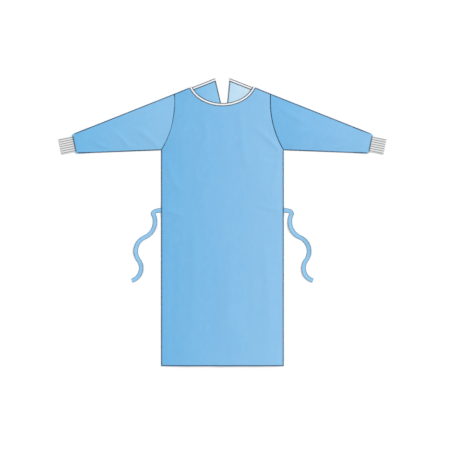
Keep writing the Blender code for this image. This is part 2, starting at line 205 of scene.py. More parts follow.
@dataclass(frozen=True)
class Pattern:
    """The gown's outline and how high its layers lie, as cut and laid for the closed solids."""

    cloth: float = 0.0010
    gap: float = 0.0003
    crown: float = 0.0021
    crown_reach: float = 0.110
    half_body: float = 0.285
    underarm: float = 1.006
    shoulder_apex: float = 1.3574
    shoulder_slope: float = 0.397
    armhole_top_x: float = 0.2245
    armhole_sagitta: float = 0.021
    neck_centre: float = 1.3377
    neck_half_width: float = 0.163
    neck_depth: float = 0.127
    binding_width: float = 0.014
    binding_clearance: float = 0.0004
    rise_reach: float = 0.050
    raw_edge_row: float = 0.024
    overlap_margin: float = 0.015
    overlap_ramp: float = 0.030
    lap_middle: float = 0.030
    lap_reach: float = 0.100
    sleeve_end_top_x: float = 0.6955
    sleeve_end_low: tuple[float, float] = (0.6762, 0.9911)
    tie_height: float = 0.7255
    tie_bump_half: tuple[float, float] = (0.021, 0.014)
    tie_bump_fade: tuple[float, float] = (0.050, 0.028)
    tape_hold: float = 0.008
    neck_corner_x: float = 0.156
    edges: Mapping[Side, BackEdge] = field(
        default_factory=lambda: {
            Side.LEFT: BackEdge(tip_x=-0.0361, slope=0.275, reach=0.131),
            Side.RIGHT: BackEdge(tip_x=0.0347, slope=-0.105, reach=-0.200),
        }
    )

    @property
    def layer(self) -> float:
        """What one more layer of cloth lifts the next by."""
        return self.cloth + self.gap

    @property
    def tape_lift(self) -> float:
        """What the lower leg of the folded tape lifts the cloth by."""
        return self.cloth + self.binding_clearance

    @property
    def shoulder_cos(self) -> float:
        """Cosine of the shoulder line's tilt."""
        return 1 / math.hypot(1, self.shoulder_slope)

    @property
    def armhole_top(self) -> float:
        """Height of the shoulder point, where the armhole meets the shoulder line."""
        return self.shoulder_apex - self.shoulder_slope * self.armhole_top_x

    @property
    def tip_height(self) -> float:
        """Height of the highest point, the right back panel's tip."""
        return self.shoulder_apex - self.shoulder_slope * self.edges[Side.RIGHT].tip_x

    def shoulder_line(self, x: Any) -> Any:
        """Height of the straight line from the neck over the shoulder to the sleeve's end."""
        return self.shoulder_apex - self.shoulder_slope * abs(x)

    def armhole_x(self, y: Any) -> Any:
        """The armhole seam's distance from the centre line: an arc that bows in towards the body.

        Args:
            y: places up from the hem.

        Returns:
            The distances.
        """
        run, rise = self.half_body - self.armhole_top_x, self.armhole_top - self.underarm
        chord = math.hypot(run, rise)
        radius = (chord**2 / 4 + self.armhole_sagitta**2) / (2 * self.armhole_sagitta)
        out = (radius - self.armhole_sagitta) / chord
        centre_x = (self.half_body + self.armhole_top_x) / 2 + rise * out
        centre_y = (self.armhole_top + self.underarm) / 2 + run * out
        y = np.clip(y, self.underarm, self.armhole_top)
        return centre_x - np.sqrt(radius**2 - (y - centre_y) ** 2)

    def half_width(self, y: Any) -> Any:
        """Half the body's width at a height: straight sides, then the armholes."""
        return np.where(y <= self.underarm, self.half_body, self.armhole_x(y))

    def neck_point(self, angle: Any, inset: Any) -> tuple[Any, Any]:
        """A point of the neckline's ellipse, moved in by inset. Angle 0 is its lowest point."""
        x = (self.neck_half_width - inset) * np.sin(angle)
        return x, self.neck_centre - (self.neck_depth - inset) * np.cos(angle)

    def neck_end_angle(self, inset: float) -> float:
        """Angle at which the neckline, moved in by inset, meets the shoulder line.

        Args:
            inset: how far in from the neckline's edge.

        Returns:
            The angle.
        """
        low, high = 0.0, math.pi / 2
        for _ in range(40):
            angle = (low + high) / 2
            x, y = self.neck_point(angle, inset)
            low, high = (angle, high) if y < self.shoulder_line(x) else (low, angle)
        return low

    def neck_distance(self, x: np.ndarray, y: np.ndarray) -> np.ndarray:
        """Distance outside the neckline, about, and negative inside it."""
        reach = np.hypot(x / self.neck_half_width, (y - self.neck_centre) / self.neck_depth) - 1
        return reach * (self.neck_half_width + self.neck_depth) / 2

    def back_edge_x(self, side: Side, y: Any) -> Any:
        """The centre edge of one back panel at a height."""
        edge = self.edges[side]
        return edge.tip_x + edge.reach * (1 - np.exp(-edge.slope * (self.tip_height - y) / edge.reach))

    def neck_rise(self, x: np.ndarray, y: np.ndarray) -> np.ndarray:
        """The back panels rise onto the lower leg of the tape that binds their neck edge.

        Args:
            x: places across from the centre line.
            y: places up from the hem.

        Returns:
            The rise.
        """
        below = (self.shoulder_line(x) - y) * self.shoulder_cos
        across = np.maximum(0.0, abs(x) - self.neck_corner_x)
        away = np.hypot(across, np.maximum(0.0, below - self.raw_edge_row))
        return self.tape_lift * smooth(1 - away / self.rise_reach)

    def overlap_rise(self, x: np.ndarray, y: np.ndarray) -> np.ndarray:
        """The right back panel rises over the left one's edge."""
        past = self.back_edge_x(Side.LEFT, y) + self.overlap_margin + self.overlap_ramp - x
        return self.layer * smooth(past / self.overlap_ramp)

    def edge_distance(self, x: np.ndarray, y: np.ndarray) -> np.ndarray:
        """Distance from the nearest closed edge: sides, shoulders, and the sleeves' two edges.

        Args:
            x: places across from the centre line.
            y: places up from the hem.

        Returns:
            The distance, 0 outside.
        """
        x = abs(x)
        above = (self.shoulder_line(x) - y) * self.shoulder_cos
        share = (x - self.half_body) / (self.sleeve_end_low[0] - self.half_body)
        low = y - mix(self.underarm, self.sleeve_end_low[1], share)
        side = np.hypot(self.half_body - x, np.maximum(0.0, y - self.underarm))
        return np.maximum(0.0, np.minimum(above, np.where(x > self.half_body, low, side)))

    def tie_bump(self, x: np.ndarray, y: np.ndarray) -> np.ndarray:
        """The front rises over the end of the tie that is caught in the side seam.

        Args:
            x: places across from the centre line.
            y: places up from the hem.

        Returns:
            The rise.
        """
        half_x, half_y = self.tie_bump_half
        fade_x, fade_y = self.tie_bump_fade
        along = 1 - np.maximum(0.0, abs(y - self.tie_height) - half_y) / fade_y
        across = 1 - np.maximum(0.0, self.half_body - abs(x) - half_x) / fade_x
        return self.layer * smooth(along) * smooth(across)

    def front_underside(self, x: np.ndarray, y: np.ndarray) -> np.ndarray:
        """Height of the underside of the top layer: the front panel, and each sleeve's upper half.

        Args:
            x: places across from the centre line.
            y: places up from the hem.

        Returns:
            The height.
        """
        lap = self.layer * smooth(2 - abs(x - self.lap_middle) / self.lap_reach)
        past_neck = np.maximum(0.0, self.neck_distance(x, y) - self.tape_hold)
        on_tape = self.tape_lift * smooth(1 - past_neck / self.rise_reach)
        crown = smooth(self.edge_distance(x, y) / self.crown_reach)
        rise = self.neck_rise(x, y) + lap + self.tie_bump(x, y)
        return self.layer + rise + mix(on_tape, self.crown, crown)


@dataclass(frozen=True)
class Fold:
    """A soft ridge, or a trough where its height is negative, along a bowed line in plan."""

    start: tuple[float, float]
    end: tuple[float, float]
    bow: float
    width: float
    height: float

    def rise(self, x: np.ndarray, y: np.ndarray) -> np.ndarray:
        """How far the fold lifts the cloth at points in plan.

        Args:
            x: places across from the centre line.
            y: places up from the hem.

        Returns:
            The rise.
        """
        run = np.subtract(self.end, self.start)
        length = math.hypot(*run)
        ux, uy = run / length
        dx, dy = x - self.start[0], y - self.start[1]
        along = (dx * ux + dy * uy) / length
        across = dy * ux - dx * uy - self.bow * 4 * along * (1 - along)
        ends = smooth((along + 0.15) / 0.4) * smooth((1.15 - along) / 0.55)
        return self.height * ends * bell(across, self.width * (0.75 + 0.5 * np.clip(along, 0, 1)))


TOP_FOLDS = (
    Fold(start=(-0.268, 0.992), end=(-0.135, 1.128), bow=0.010, width=0.015, height=0.0021),
    Fold(start=(-0.262, 0.975), end=(-0.165, 1.050), bow=-0.006, width=0.010, height=-0.0009),
    Fold(start=(-0.258, 0.962), end=(-0.178, 0.790), bow=-0.014, width=0.017, height=0.0017),
    Fold(start=(0.270, 0.996), end=(0.150, 1.105), bow=-0.008, width=0.013, height=0.0019),
    Fold(start=(0.262, 0.968), end=(0.172, 0.985), bow=0.008, width=0.011, height=-0.0008),
    Fold(start=(0.258, 0.955), end=(0.197, 0.745), bow=0.013, width=0.016, height=0.0016),
    Fold(start=(-0.078, 1.165), end=(-0.104, 0.945), bow=0.006, width=0.021, height=0.0013),
    Fold(start=(0.086, 1.170), end=(0.120, 0.900), bow=-0.009, width=0.019, height=0.0014),
    Fold(start=(0.010, 1.120), end=(0.004, 0.760), bow=0.010, width=0.034, height=0.0010),
    Fold(start=(-0.272, 0.722), end=(-0.176, 0.694), bow=0.006, width=0.011, height=0.0013),
    Fold(start=(0.272, 0.728), end=(0.168, 0.748), bow=0.005, width=0.010, height=0.0012),
    Fold(start=(-0.136, 0.640), end=(-0.158, 0.020), bow=0.016, width=0.028, height=0.0018),
    Fold(start=(-0.222, 0.520), end=(-0.232, 0.060), bow=-0.006, width=0.020, height=-0.0010),
    Fold(start=(0.052, 0.600), end=(0.032, 0.010), bow=-0.012, width=0.030, height=0.0016),
    Fold(start=(0.196, 0.570), end=(0.208, 0.040), bow=0.012, width=0.025, height=0.0017),
    Fold(start=(-0.045, 0.480), end=(-0.058, 0.050), bow=0.008, width=0.024, height=-0.0009),
    Fold(start=(0.124, 0.420), end=(0.118, 0.030), bow=-0.006, width=0.022, height=-0.0009),
    Fold(start=(-0.302, 1.020), end=(-0.430, 1.098), bow=-0.008, width=0.014, height=0.0020),
    Fold(start=(-0.262, 1.206), end=(-0.400, 1.142), bow=0.006, width=0.016, height=0.0012),
    Fold(start=(-0.450, 1.022), end=(-0.528, 1.086), bow=-0.006, width=0.010, height=0.0015),
    Fold(start=(-0.506, 1.016), end=(-0.584, 1.062), bow=0.006, width=0.009, height=0.0012),
    Fold(start=(-0.360, 1.012), end=(-0.452, 1.040), bow=0.004, width=0.009, height=-0.0008),
    Fold(start=(0.300, 1.018), end=(0.418, 1.112), bow=0.010, width=0.015, height=0.0019),
    Fold(start=(0.270, 1.200), end=(0.412, 1.128), bow=-0.006, width=0.015, height=0.0013),
    Fold(start=(0.436, 1.020), end=(0.506, 1.092), bow=0.006, width=0.011, height=0.0015),
    Fold(start=(0.520, 1.012), end=(0.602, 1.050), bow=-0.005, width=0.008, height=0.0012),
    Fold(start=(0.352, 1.010), end=(0.440, 1.050), bow=-0.004, width=0.010, height=-0.0008),
)


@dataclass(frozen=True)
class Laying:
    """How the real cloth lies: thinner than its solids, soft, drawn in at its seams and a little uneven."""

    pattern: Pattern
    sheet: float = 0.0006
    lip: float = 0.00045
    edge_round: float = 0.006
    seam_depth: float = 0.0008
    seam_width: float = 0.0032
    allowance: float = 0.009
    allowance_height: float = 0.0003
    pucker_height: float = 0.0003
    pucker_pitch: float = 0.015
    fold_gain: float = 1.5
    broad_height: float = 0.0009
    fine_height: float = 0.00018
    hem_lift: float = 0.0011
    hem_reach: float = 0.05
    back_softness: float = 0.00035
    broad: Ripple = field(default_factory=lambda: Ripple(seed=3, cell=0.085, lean=2.2))
    fine: Ripple = field(default_factory=lambda: Ripple(seed=8, cell=0.030, lean=1.6))
    wander: Ripple = field(default_factory=lambda: Ripple(seed=21, cell=0.060))

    def pucker(self, along: np.ndarray, distance: np.ndarray, reach: float = 0.011) -> np.ndarray:
        """Small ripples that a row of stitches draws up beside it.

        Args:
            along: distance along the seam.
            distance: distance from the seam.
            reach: how far from the seam the ripples last.

        Returns:
            The height that they add.
        """
        phase = 2 * math.pi * along / self.pucker_pitch + 2.2 * self.wander(along * 3, along)
        uneven = 0.65 + 0.35 * self.wander(along, along * 2 + 7)
        return self.pucker_height * uneven * np.sin(phase) * np.exp(-distance / reach)

    def armhole_seam(self, x: np.ndarray, y: np.ndarray) -> np.ndarray:
        """The armhole seam's groove, its turned allowance and its puckers.

        Args:
            x: places across from the centre line.
            y: places up from the hem.

        Returns:
            The height that they add.
        """
        p = self.pattern
        step = 0.001
        slope = (p.armhole_x(y + step) - p.armhole_x(y - step)) / (2 * step)
        signed = (abs(x) - p.armhole_x(y)) / np.hypot(1, slope)
        distance = abs(signed)
        near = smooth((y - p.underarm + 0.006) / 0.006)
        ridge = self.allowance_height * smooth((self.allowance - distance) / 0.003) * (signed > 0)
        return near * (ridge + self.pucker(y, distance) - self.seam_depth * bell(distance, self.seam_width))

    def side_seam(self, x: np.ndarray, y: np.ndarray) -> np.ndarray:
        """The side seam's allowance inside the gown and its puckers.

        Args:
            x: places across from the centre line.
            y: places up from the hem.

        Returns:
            The height that they add.
        """
        p = self.pattern
        distance = np.maximum(0.0, p.half_body - abs(x))
        low = smooth((p.underarm - y) / 0.004)
        ridge = self.allowance_height * smooth((self.allowance - distance) / 0.003)
        return low * (ridge + self.pucker(y + 0.3 * np.sign(x), distance, reach=0.014))

    def relief(self, x: np.ndarray, y: np.ndarray) -> np.ndarray:
        """The folds and the unevenness of the top layer.

        Args:
            x: places across from the centre line.
            y: places up from the hem.

        Returns:
            The height that they add.
        """
        p = self.pattern
        folds = self.fold_gain * sum(fold.rise(x, y) for fold in TOP_FOLDS)
        uneven = self.broad_height * (self.broad(x, y) + 0.7) + self.fine_height * self.fine(x, y)
        at_edge = smooth(p.edge_distance(x, y) / 0.030)
        at_neck = smooth((p.neck_distance(x, y) - 0.004) / 0.035)
        return (folds + uneven) * at_edge * at_neck

    def hem(self, x: np.ndarray, y: np.ndarray) -> np.ndarray:
        """The hem stands up a little in places."""
        inside = smooth((self.pattern.half_body - abs(x)) / 0.05)
        return inside * self.hem_lift * (1 + self.broad(x * 1.6, x * 0 + 0.37)) * np.exp(-y / self.hem_reach)

    def top(self, x: np.ndarray, y: np.ndarray) -> np.ndarray:
        """Height of the top layer's upper face.

        Args:
            x: places across from the centre line.
            y: places up from the hem.

        Returns:
            The height.
        """
        p = self.pattern
        under = p.front_underside(x, y)
        seams = self.armhole_seam(x, y) + self.side_seam(x, y)
        round_neck = np.arctan2(x, p.neck_centre - y) * 0.14
        around_neck = self.pucker(round_neck, np.maximum(0, p.neck_distance(x, y)))
        around_neck *= smooth(p.neck_distance(x, y) / 0.004) * smooth((y - 1.1) / 0.05)
        full = p.cloth + seams + self.relief(x, y) + self.hem(x, y) + around_neck
        return under + mix(self.lip, full, rounded(p.edge_distance(x, y) / self.edge_round))

    def back_underside(self, side: Side, x: np.ndarray, y: np.ndarray) -> np.ndarray:
        """Height of a back panel's lower face.

        Args:
            side: which side of the gown.
            x: places across from the centre line.
            y: places up from the hem.

        Returns:
            The height.
        """
        p = self.pattern
        rise = p.neck_rise(x, y) + (p.overlap_rise(x, y) if side is Side.RIGHT else 0)
        edge = np.minimum(p.edge_distance(x, y), 1.0)
        near_neck = smooth((y - 1.12) / 0.06)
        soft = self.back_softness * (1 + self.broad(x * 1.7 + 0.4, y * 2.4)) * near_neck
        soft = soft * smooth((p.shoulder_line(x) - y - 0.02) / 0.03) * smooth(edge / 0.02)
        raised_edge = self.back_softness * (1 - rounded(edge / self.edge_round)) * (abs(x) > 0.16)
        return rise + soft + raised_edge

    def back_top(self, side: Side, x: np.ndarray, y: np.ndarray) -> np.ndarray:
        """Height of a back panel's upper face."""
        return self.back_underside(side, x, y) + self.sheet


# ---------------------------------------------------------------------------------- shaders in words


class Wire:
    """A node's output that takes part in sums and products: each operator adds its Math node."""

    def __init__(self, board: "Board", socket: bpy.types.NodeSocket | None) -> None:
        """Wraps a socket of a board.

        Args:
            board: the board that the socket's node stands on.
            socket: the output socket, or none on the last node.
        """
        self.board = board
        self.socket = socket

    def _math(self, operation: str, first: Any, second: Any = 0.0) -> "Wire":
        """Adds a Math node for two values or wires."""
        return self.board.add("ShaderNodeMath", {"operation": operation}, {0: first, 1: second})

    def __add__(self, other: Any) -> "Wire":
        """The sum."""
        return self._math("ADD", self, other)

    __radd__ = __add__

    def __sub__(self, other: Any) -> "Wire":
        """The difference."""
        return self._math("SUBTRACT", self, other)

    def __rsub__(self, other: Any) -> "Wire":
        """The difference, the other way round."""
        return self._math("SUBTRACT", other, self)

    def __mul__(self, other: Any) -> "Wire":
        """The product."""
        return self._math("MULTIPLY", self, other)

    __rmul__ = __mul__

    def __truediv__(self, other: Any) -> "Wire":
        """The quotient."""
        return self._math("DIVIDE", self, other)

    def __pow__(self, other: Any) -> "Wire":
        """The power."""
        return self._math("POWER", self, other)

    def __abs__(self) -> "Wire":
        """The size without its sign."""
        return self._math("ABSOLUTE", self)

    def wave(self) -> "Wire":
        """The sine."""
        return self._math("SINE", self)

    def clamp(self) -> "Wire":
        """The value kept from 0 to 1."""
        return self.board.add("ShaderNodeClamp", {}, {"Value": self})


class Board:
    """One material's nodes."""

    def __init__(self, name: str) -> None:
        """Starts a material with an empty board.

        Args:
            name: the material's name.
        """
        self.material = bpy.data.materials.new(name)
        self.material.use_nodes = True
        self.nodes = self.material.node_tree.nodes
        self.nodes.clear()
        self.place = Wire(self, self.nodes.new("ShaderNodeTexCoord").outputs["Object"])

    def add(
        self,
        kind: str,
        settings: Mapping[str, Any] | None = None,
        inputs: Mapping[str | int, Any] | None = None,
        output: str | int = 0,
    ) -> Wire:
        """Adds a node, sets it, and fills or links its inputs.

        Args:
            kind: the node's type.
            settings: the node's own settings, made first.
            inputs: value or wire for each input, by name or number.
            output: which output the wire starts from.

        Returns:
            The wire from that output.
        """
        node = self.nodes.new(kind)
        for key, value in (settings or {}).items():
            setattr(node, key, value)
        for key, value in (inputs or {}).items():
            if isinstance(value, Wire):
                self.material.node_tree.links.new(value.socket, node.inputs[key])
            else:
                node.inputs[key].default_value = value
        return Wire(self, node.outputs[output] if node.outputs else None)

    def blend(self, first: Any, second: Any, share: Wire) -> Wire:
        """A colour share of the way from the first to the second."""
        return self.add("ShaderNodeMix", {"data_type": "RGBA"}, {0: share, 6: first, 7: second}, output=2)

    def along(self, direction: Sequence[float]) -> Wire:
        """The distance of the surface's point from the origin in a direction."""
        settings = {"operation": "DOT_PRODUCT"}
        return self.add("ShaderNodeVectorMath", settings, {0: self.place, 1: direction}, output="Value")

    def noise(self, scale: float, detail: float = 2.0, stretch: Sequence[float] = (1, 1, 1)) -> Wire:
        """Cloudy noise from 0 to 1, with scale lumps to the metre.

        Args:
            scale: lumps to the metre.
            detail: how many finer layers it has.
            stretch: how much each direction is drawn together.

        Returns:
            The noise.
        """
        settings = {"operation": "MULTIPLY"}
        place = self.add("ShaderNodeVectorMath", settings, {0: self.place, 1: stretch})
        return self.add("ShaderNodeTexNoise", {}, {"Vector": place, "Scale": scale, "Detail": detail})

    def finish(
        self, colour: Any, roughness: Any, height: Wire, sheen: float, bump: float
    ) -> bpy.types.Material:
        """Ends the board in a cloth shader.

        Args:
            colour: base colour, a value or a wire.
            roughness: a value or a wire.
            height: the texture's height in metres, felt as a bump.
            sheen: weight of the fibres' sheen.
            bump: strength of the bump.

        Returns:
            The material.
        """
        normal = self.add("ShaderNodeBump", {}, {"Strength": bump, "Distance": 1.0, "Height": height})
        sockets = {
            "Base Color": colour,
            "Roughness": roughness,
            "Normal": normal,
            "Sheen Weight": sheen,
            "Sheen Roughness": 0.5,
            "Specular IOR Level": 0.25,
        }
        shader = self.add("ShaderNodeBsdfPrincipled", {}, sockets)
        self.add("ShaderNodeOutputMaterial", {}, {"Surface": shader})
        return self.material


@dataclass(frozen=True)
class ClothFinish:
    """Light blue bonded sheet cloth, with painted shading that runs from darker on one side of a panel to
    lighter on the other.
    """

    name: str
    # The two ends of the painted shading: the shaded colour and the lit one.
    dark: tuple[float, float, float]
    light: tuple[float, float, float]
    span: tuple[float, float]
    bond_pitch: float = 0.0021
    bond_depth: float = 0.00005
    fibre_depth: float = 0.00004

    def material(self) -> bpy.types.Material:
        """The cloth's material: painted shading across the panel, cloudy fibres and embossed bond points.

        Returns:
            The material.
        """
        board = Board(self.name)
        # Painted shading: the colour runs from the dark end at the span's start to the light end at its
        # finish, as if lit from that side.
        share = (board.along((1, 0, 0)) - self.span[0]) / (self.span[1] - self.span[0])
        base = board.blend(dye(*self.dark), dye(*self.light), share.clamp())
        cloud = board.noise(scale=55, detail=5, stretch=(1, 0.6, 1))
        patch = board.noise(scale=9, detail=2)
        faded = board.blend(base, dye(226, 240, 250), cloud * 0.10 + patch * 0.05 - 0.06)
        turn = math.pi / self.bond_pitch
        rising = board.along((turn, turn * 0.6, 0)).wave()
        falling = board.along((turn, -turn * 0.6, 0)).wave()
        points = (rising * falling).clamp() ** 2
        height = board.noise(scale=900, detail=3) * self.fibre_depth - points * self.bond_depth
        tone = board.blend(faded, dye(96, 160, 212), points * 0.16)
        return board.finish(tone, 0.62 + cloud * 0.16, height, sheen=0.12, bump=0.8)


@dataclass(frozen=True)
class KnitFinish:
    """Off-white rib knit: pale ribs, painted shade in the furrows between them, and small chevrons of yarn.
    """

    name: str
    side: Side
    tilt: float
    middle: tuple[float, float]
    rib_pitch: float
    row_pitch: float = 0.0016

    def material(self) -> bpy.types.Material:
        """The knit's material, with its ribs along the sleeve.

        Returns:
            The material.
        """
        board = Board(self.name)
        sign = self.side.value
        across = (-math.sin(self.tilt) * sign, -math.cos(self.tilt), 0)
        out = (math.cos(self.tilt) * sign, -math.sin(self.tilt), 0)
        offset = across[0] * self.middle[0] + across[1] * self.middle[1]
        rib = (board.along(across) - offset) / self.rib_pitch
        ridge = abs((rib * math.pi).wave())
        # Painted shade: the furrows between the ribs, where shade falls, are coloured dark grey.
        furrow_painted_shade = (1 - ridge) ** 1.5
        chevron = abs((rib * math.pi * 2).wave()) * 0.5 + board.along(out) / self.row_pitch
        loops = (chevron * 2 * math.pi).wave() * 0.5 + 0.5
        fuzz = board.noise(scale=1400, detail=2)
        pale = board.blend(dye(238, 238, 236), dye(214, 216, 217), loops * 0.5)
        tone = board.blend(pale, dye(84, 88, 96), furrow_painted_shade)
        height = loops * 0.00016 + fuzz * 0.00008
        return board.finish(tone, 0.85, height, sheen=0.25, bump=0.7)


@dataclass(frozen=True)
class WovenFinish:
    """A plain woven tape: ribs of yarn across it and a slight change of tone."""

    name: str
    pale: tuple[float, float, float]
    deep: tuple[float, float, float]
    yarn_pitch: float = 0.0009
    depth: float = 0.00007

    def material(self) -> bpy.types.Material:
        """The tape's material.

        Returns:
            The material.
        """
        board = Board(self.name)
        turn = 2 * math.pi / self.yarn_pitch
        weave = board.along((turn, 0, 0)).wave() * board.along((0, turn, 0)).wave()
        cloud = board.noise(scale=70, detail=4)
        tone = board.blend(dye(*self.pale), dye(*self.deep), weave * 0.25 + cloud * 0.5)
        height = weave * self.depth + board.noise(scale=1200) * 0.00005
        return board.finish(tone, 0.7 + cloud * 0.12, height, sheen=0.15, bump=0.7)


@dataclass(frozen=True)
class ThreadFinish:
    """Navy spun polyester thread."""

    name: str
    colour: tuple[float, float, float]

    def material(self) -> bpy.types.Material:
        """The thread's material, with its twist as a fine slanting wave, felt as a bump and painted as shade
        in the twist's grooves.

        Returns:
            The material.
        """
        board = Board(self.name)
        twist_and_painted_shade = board.along((5200, 3700, 2600)).wave() * 0.5 + 0.5
        # Painted shade: the thread is darker in the grooves of its twist.
        deep = tuple(v * 0.7 for v in self.colour)
        tone = board.blend(dye(*deep), dye(*self.colour), twist_and_painted_shade)
        return board.finish(tone, 0.6, twist_and_painted_shade * 0.00004, sheen=0.1, bump=0.5)


@dataclass(frozen=True)
class Finishes:
    """Every material of the gown, made once."""

    front: bpy.types.Material
    sleeves: Mapping[Side, bpy.types.Material]
    insides: Mapping[Side, bpy.types.Material]
    binding: bpy.types.Material
    tape: bpy.types.Material
    thread: bpy.types.Material

    @classmethod
    def make(cls, pattern: Pattern) -> "Finishes":
        """Makes the materials.

        Args:
            pattern: gives the span over which each panel's painted shading runs from dark to light.

        Returns:
            The set of materials.
        """
        body, end = pattern.half_body, pattern.sleeve_end_top_x
        # Painted shading on each panel: darker at its -X end and lighter at its +X end, as if lit from the
        # right.
        front = ClothFinish("cloth_front_painted_shading", (107, 180, 228), (139, 194, 234), (-body, body))
        left = ClothFinish("cloth_sleeve_left_painted_shading", (107, 181, 228), (136, 193, 233), (-end, -body * 0.85))
        right = ClothFinish("cloth_sleeve_right_painted_shading", (111, 182, 230), (138, 194, 234), (body * 0.85, end))
        # The insides are a little paler than the outside, as the real cloth is; past that, painted light
        # makes the right inside much paler than the left, and each lighter towards +X.
        inner = {
            Side.LEFT: ClothFinish("cloth_inside_left_painted_shading", (118, 185, 231), (144, 200, 235), (-0.15, -0.01)),
            Side.RIGHT: ClothFinish("cloth_inside_right_painted_light", (187, 221, 245), (207, 232, 243), (0.02, 0.15)),
        }
        return cls(
            front=front.material(),
            sleeves={Side.LEFT: left.material(), Side.RIGHT: right.material()},
            insides={side: finish.material() for side, finish in inner.items()},
            binding=WovenFinish("binding_tape", (247, 249, 250), (225, 230, 235)).material(),
            tape=WovenFinish("tie_tape", (150, 206, 241), (118, 180, 226)).material(),
            thread=ThreadFinish("navy_thread", (24, 50, 88)).material(),
        )


# --------------------------------------------------------------------------------------- mesh making


class Workshop:
    """Turns points into the gown's pieces."""

    def __init__(self, pattern: Pattern) -> None:
        """Keeps what moves points from the pattern's frame to the gown's.

        Args:
            pattern: the gown's pattern.
        """
        self.shift = np.array([0.0, -pattern.tip_height / 2, 0.0])

    def piece(
        self,
        name: str,
        points: np.ndarray,
        faces: Sequence[Sequence[int]],
        material: bpy.types.Material,
        slot: Slot,
        sharp: float = 50.0,
    ) -> bpy.types.Object:
        """Makes one closed piece that rides on the gown's body.

        Args:
            name: the piece's name.
            points: its corners in the pattern's frame.
            faces: corner numbers of each face.
            material: its finish.
            slot: the record's finish that it stands for; not used.
            sharp: edges that turn by more than this many degrees stay sharp.

        Returns:
            The piece.
        """
        mesh = bpy.data.meshes.new(name)
        mesh.from_pydata((points.reshape(-1, 3) + self.shift).tolist(), [], faces)
        work = bmesh.new()
        work.from_mesh(mesh)
        bmesh.ops.recalc_face_normals(work, faces=work.faces)
        work.to_mesh(mesh)
        work.free()
        mesh.materials.append(material)
        mesh.shade_smooth()
        mesh.set_sharp_from_angle(angle=math.radians(sharp))
        made = bpy.data.objects.new(name, mesh)
        bpy.context.scene.collection.objects.link(made)
        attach(made, BODY)
        log.info("%s: %d corners, %d faces", name, len(mesh.vertices), len(mesh.polygons))
        return made

    @staticmethod
    def shell(top: np.ndarray, bottom: np.ndarray) -> tuple[np.ndarray, list[list[int]]]:
        """Closes two grids of points into a thin sheet.

        Args:
            top: rows of columns of points of the upper face.
            bottom: the same for the lower face.

        Returns:
            The points and the faces.
        """
        tall, wide = top.shape[:2]
        index = np.arange(tall * wide).reshape(tall, wide)
        corners = [index[:-1, :-1], index[:-1, 1:], index[1:, 1:], index[1:, :-1]]
        quads = np.stack(corners, axis=-1).reshape(-1, 4)
        rim = np.concatenate([index[0], index[1:, -1], index[-1, -2::-1], index[-2:0:-1, 0]])
        after = np.roll(rim, -1)
        count = tall * wide
        walls = np.stack([after, rim, rim + count, after + count], axis=-1)
        faces = np.concatenate([quads, quads[:, ::-1] + count, walls])
        return np.concatenate([top.reshape(-1, 3), bottom.reshape(-1, 3)]), faces.tolist()

    @staticmethod
    def tube(outer: np.ndarray, inner: np.ndarray) -> tuple[np.ndarray, list[list[int]]]:
        """Closes an outer and an inner skin, each stations of loops of points, into an open tube.

        Args:
            outer: the outer skin.
            inner: the inner skin.

        Returns:
            The points and the faces.
        """
        tall, wide = outer.shape[:2]
        index = np.arange(tall * wide).reshape(tall, wide)
        after = np.roll(index, -1, axis=1)
        quads = np.stack([index[:-1], after[:-1], after[1:], index[1:]], axis=-1).reshape(-1, 4)
        count = tall * wide
        ends = [np.stack([after[k], index[k], index[k] + count, after[k] + count], axis=-1) for k in (0, -1)]
        faces = np.concatenate([quads, quads[:, ::-1] + count, ends[0], ends[1][:, ::-1]])
        return np.concatenate([outer.reshape(-1, 3), inner.reshape(-1, 3)]), faces.tolist()

    @staticmethod
    def sweep(rings: np.ndarray) -> tuple[np.ndarray, list[list[int]]]:
        """Closes solid bars through rings of points: (bars, stations, corners, 3).

        Args:
            rings: the bars' rings.

        Returns:
            The points and the faces.
        """
        bars, tall, wide = rings.shape[:3]
        index = np.arange(bars * tall * wide).reshape(bars, tall, wide)
        after = np.roll(index, -1, axis=2)
        quads = np.stack([index[:, :-1], after[:, :-1], after[:, 1:], index[:, 1:]], axis=-1).reshape(-1, 4)
        caps = index[:, 0, ::-1].tolist() + index[:, -1].tolist()
        return rings.reshape(-1, 3), quads.tolist() + caps

    @staticmethod
    def threads(paths: np.ndarray, beside: np.ndarray, radius: float, sides: int = 5) -> np.ndarray:
        """Rings round lengths of thread.

        Args:
            paths: (threads, points, 3).
            beside: a direction across each thread, (threads, 1 or points, 3).
            radius: the thread's radius.
            sides: how many sides it has.

        Returns:
            The rings, as sweep takes them.
        """
        along = np.gradient(paths, axis=1)
        along /= np.linalg.norm(along, axis=2, keepdims=True)
        across = beside - (beside * along).sum(axis=2, keepdims=True) * along
        across /= np.linalg.norm(across, axis=2, keepdims=True)
        up = np.cross(along, across)
        turns = np.arange(sides) * 2 * math.pi / sides
        ends = np.ones(paths.shape[1])
        ends[[0, -1]] = THREAD_TAPER
        spin = np.cos(turns)[:, None] * across[:, :, None] + np.sin(turns)[:, None] * up[:, :, None]
        return paths[:, :, None] + spin * (radius * ends)[None, :, None, None]


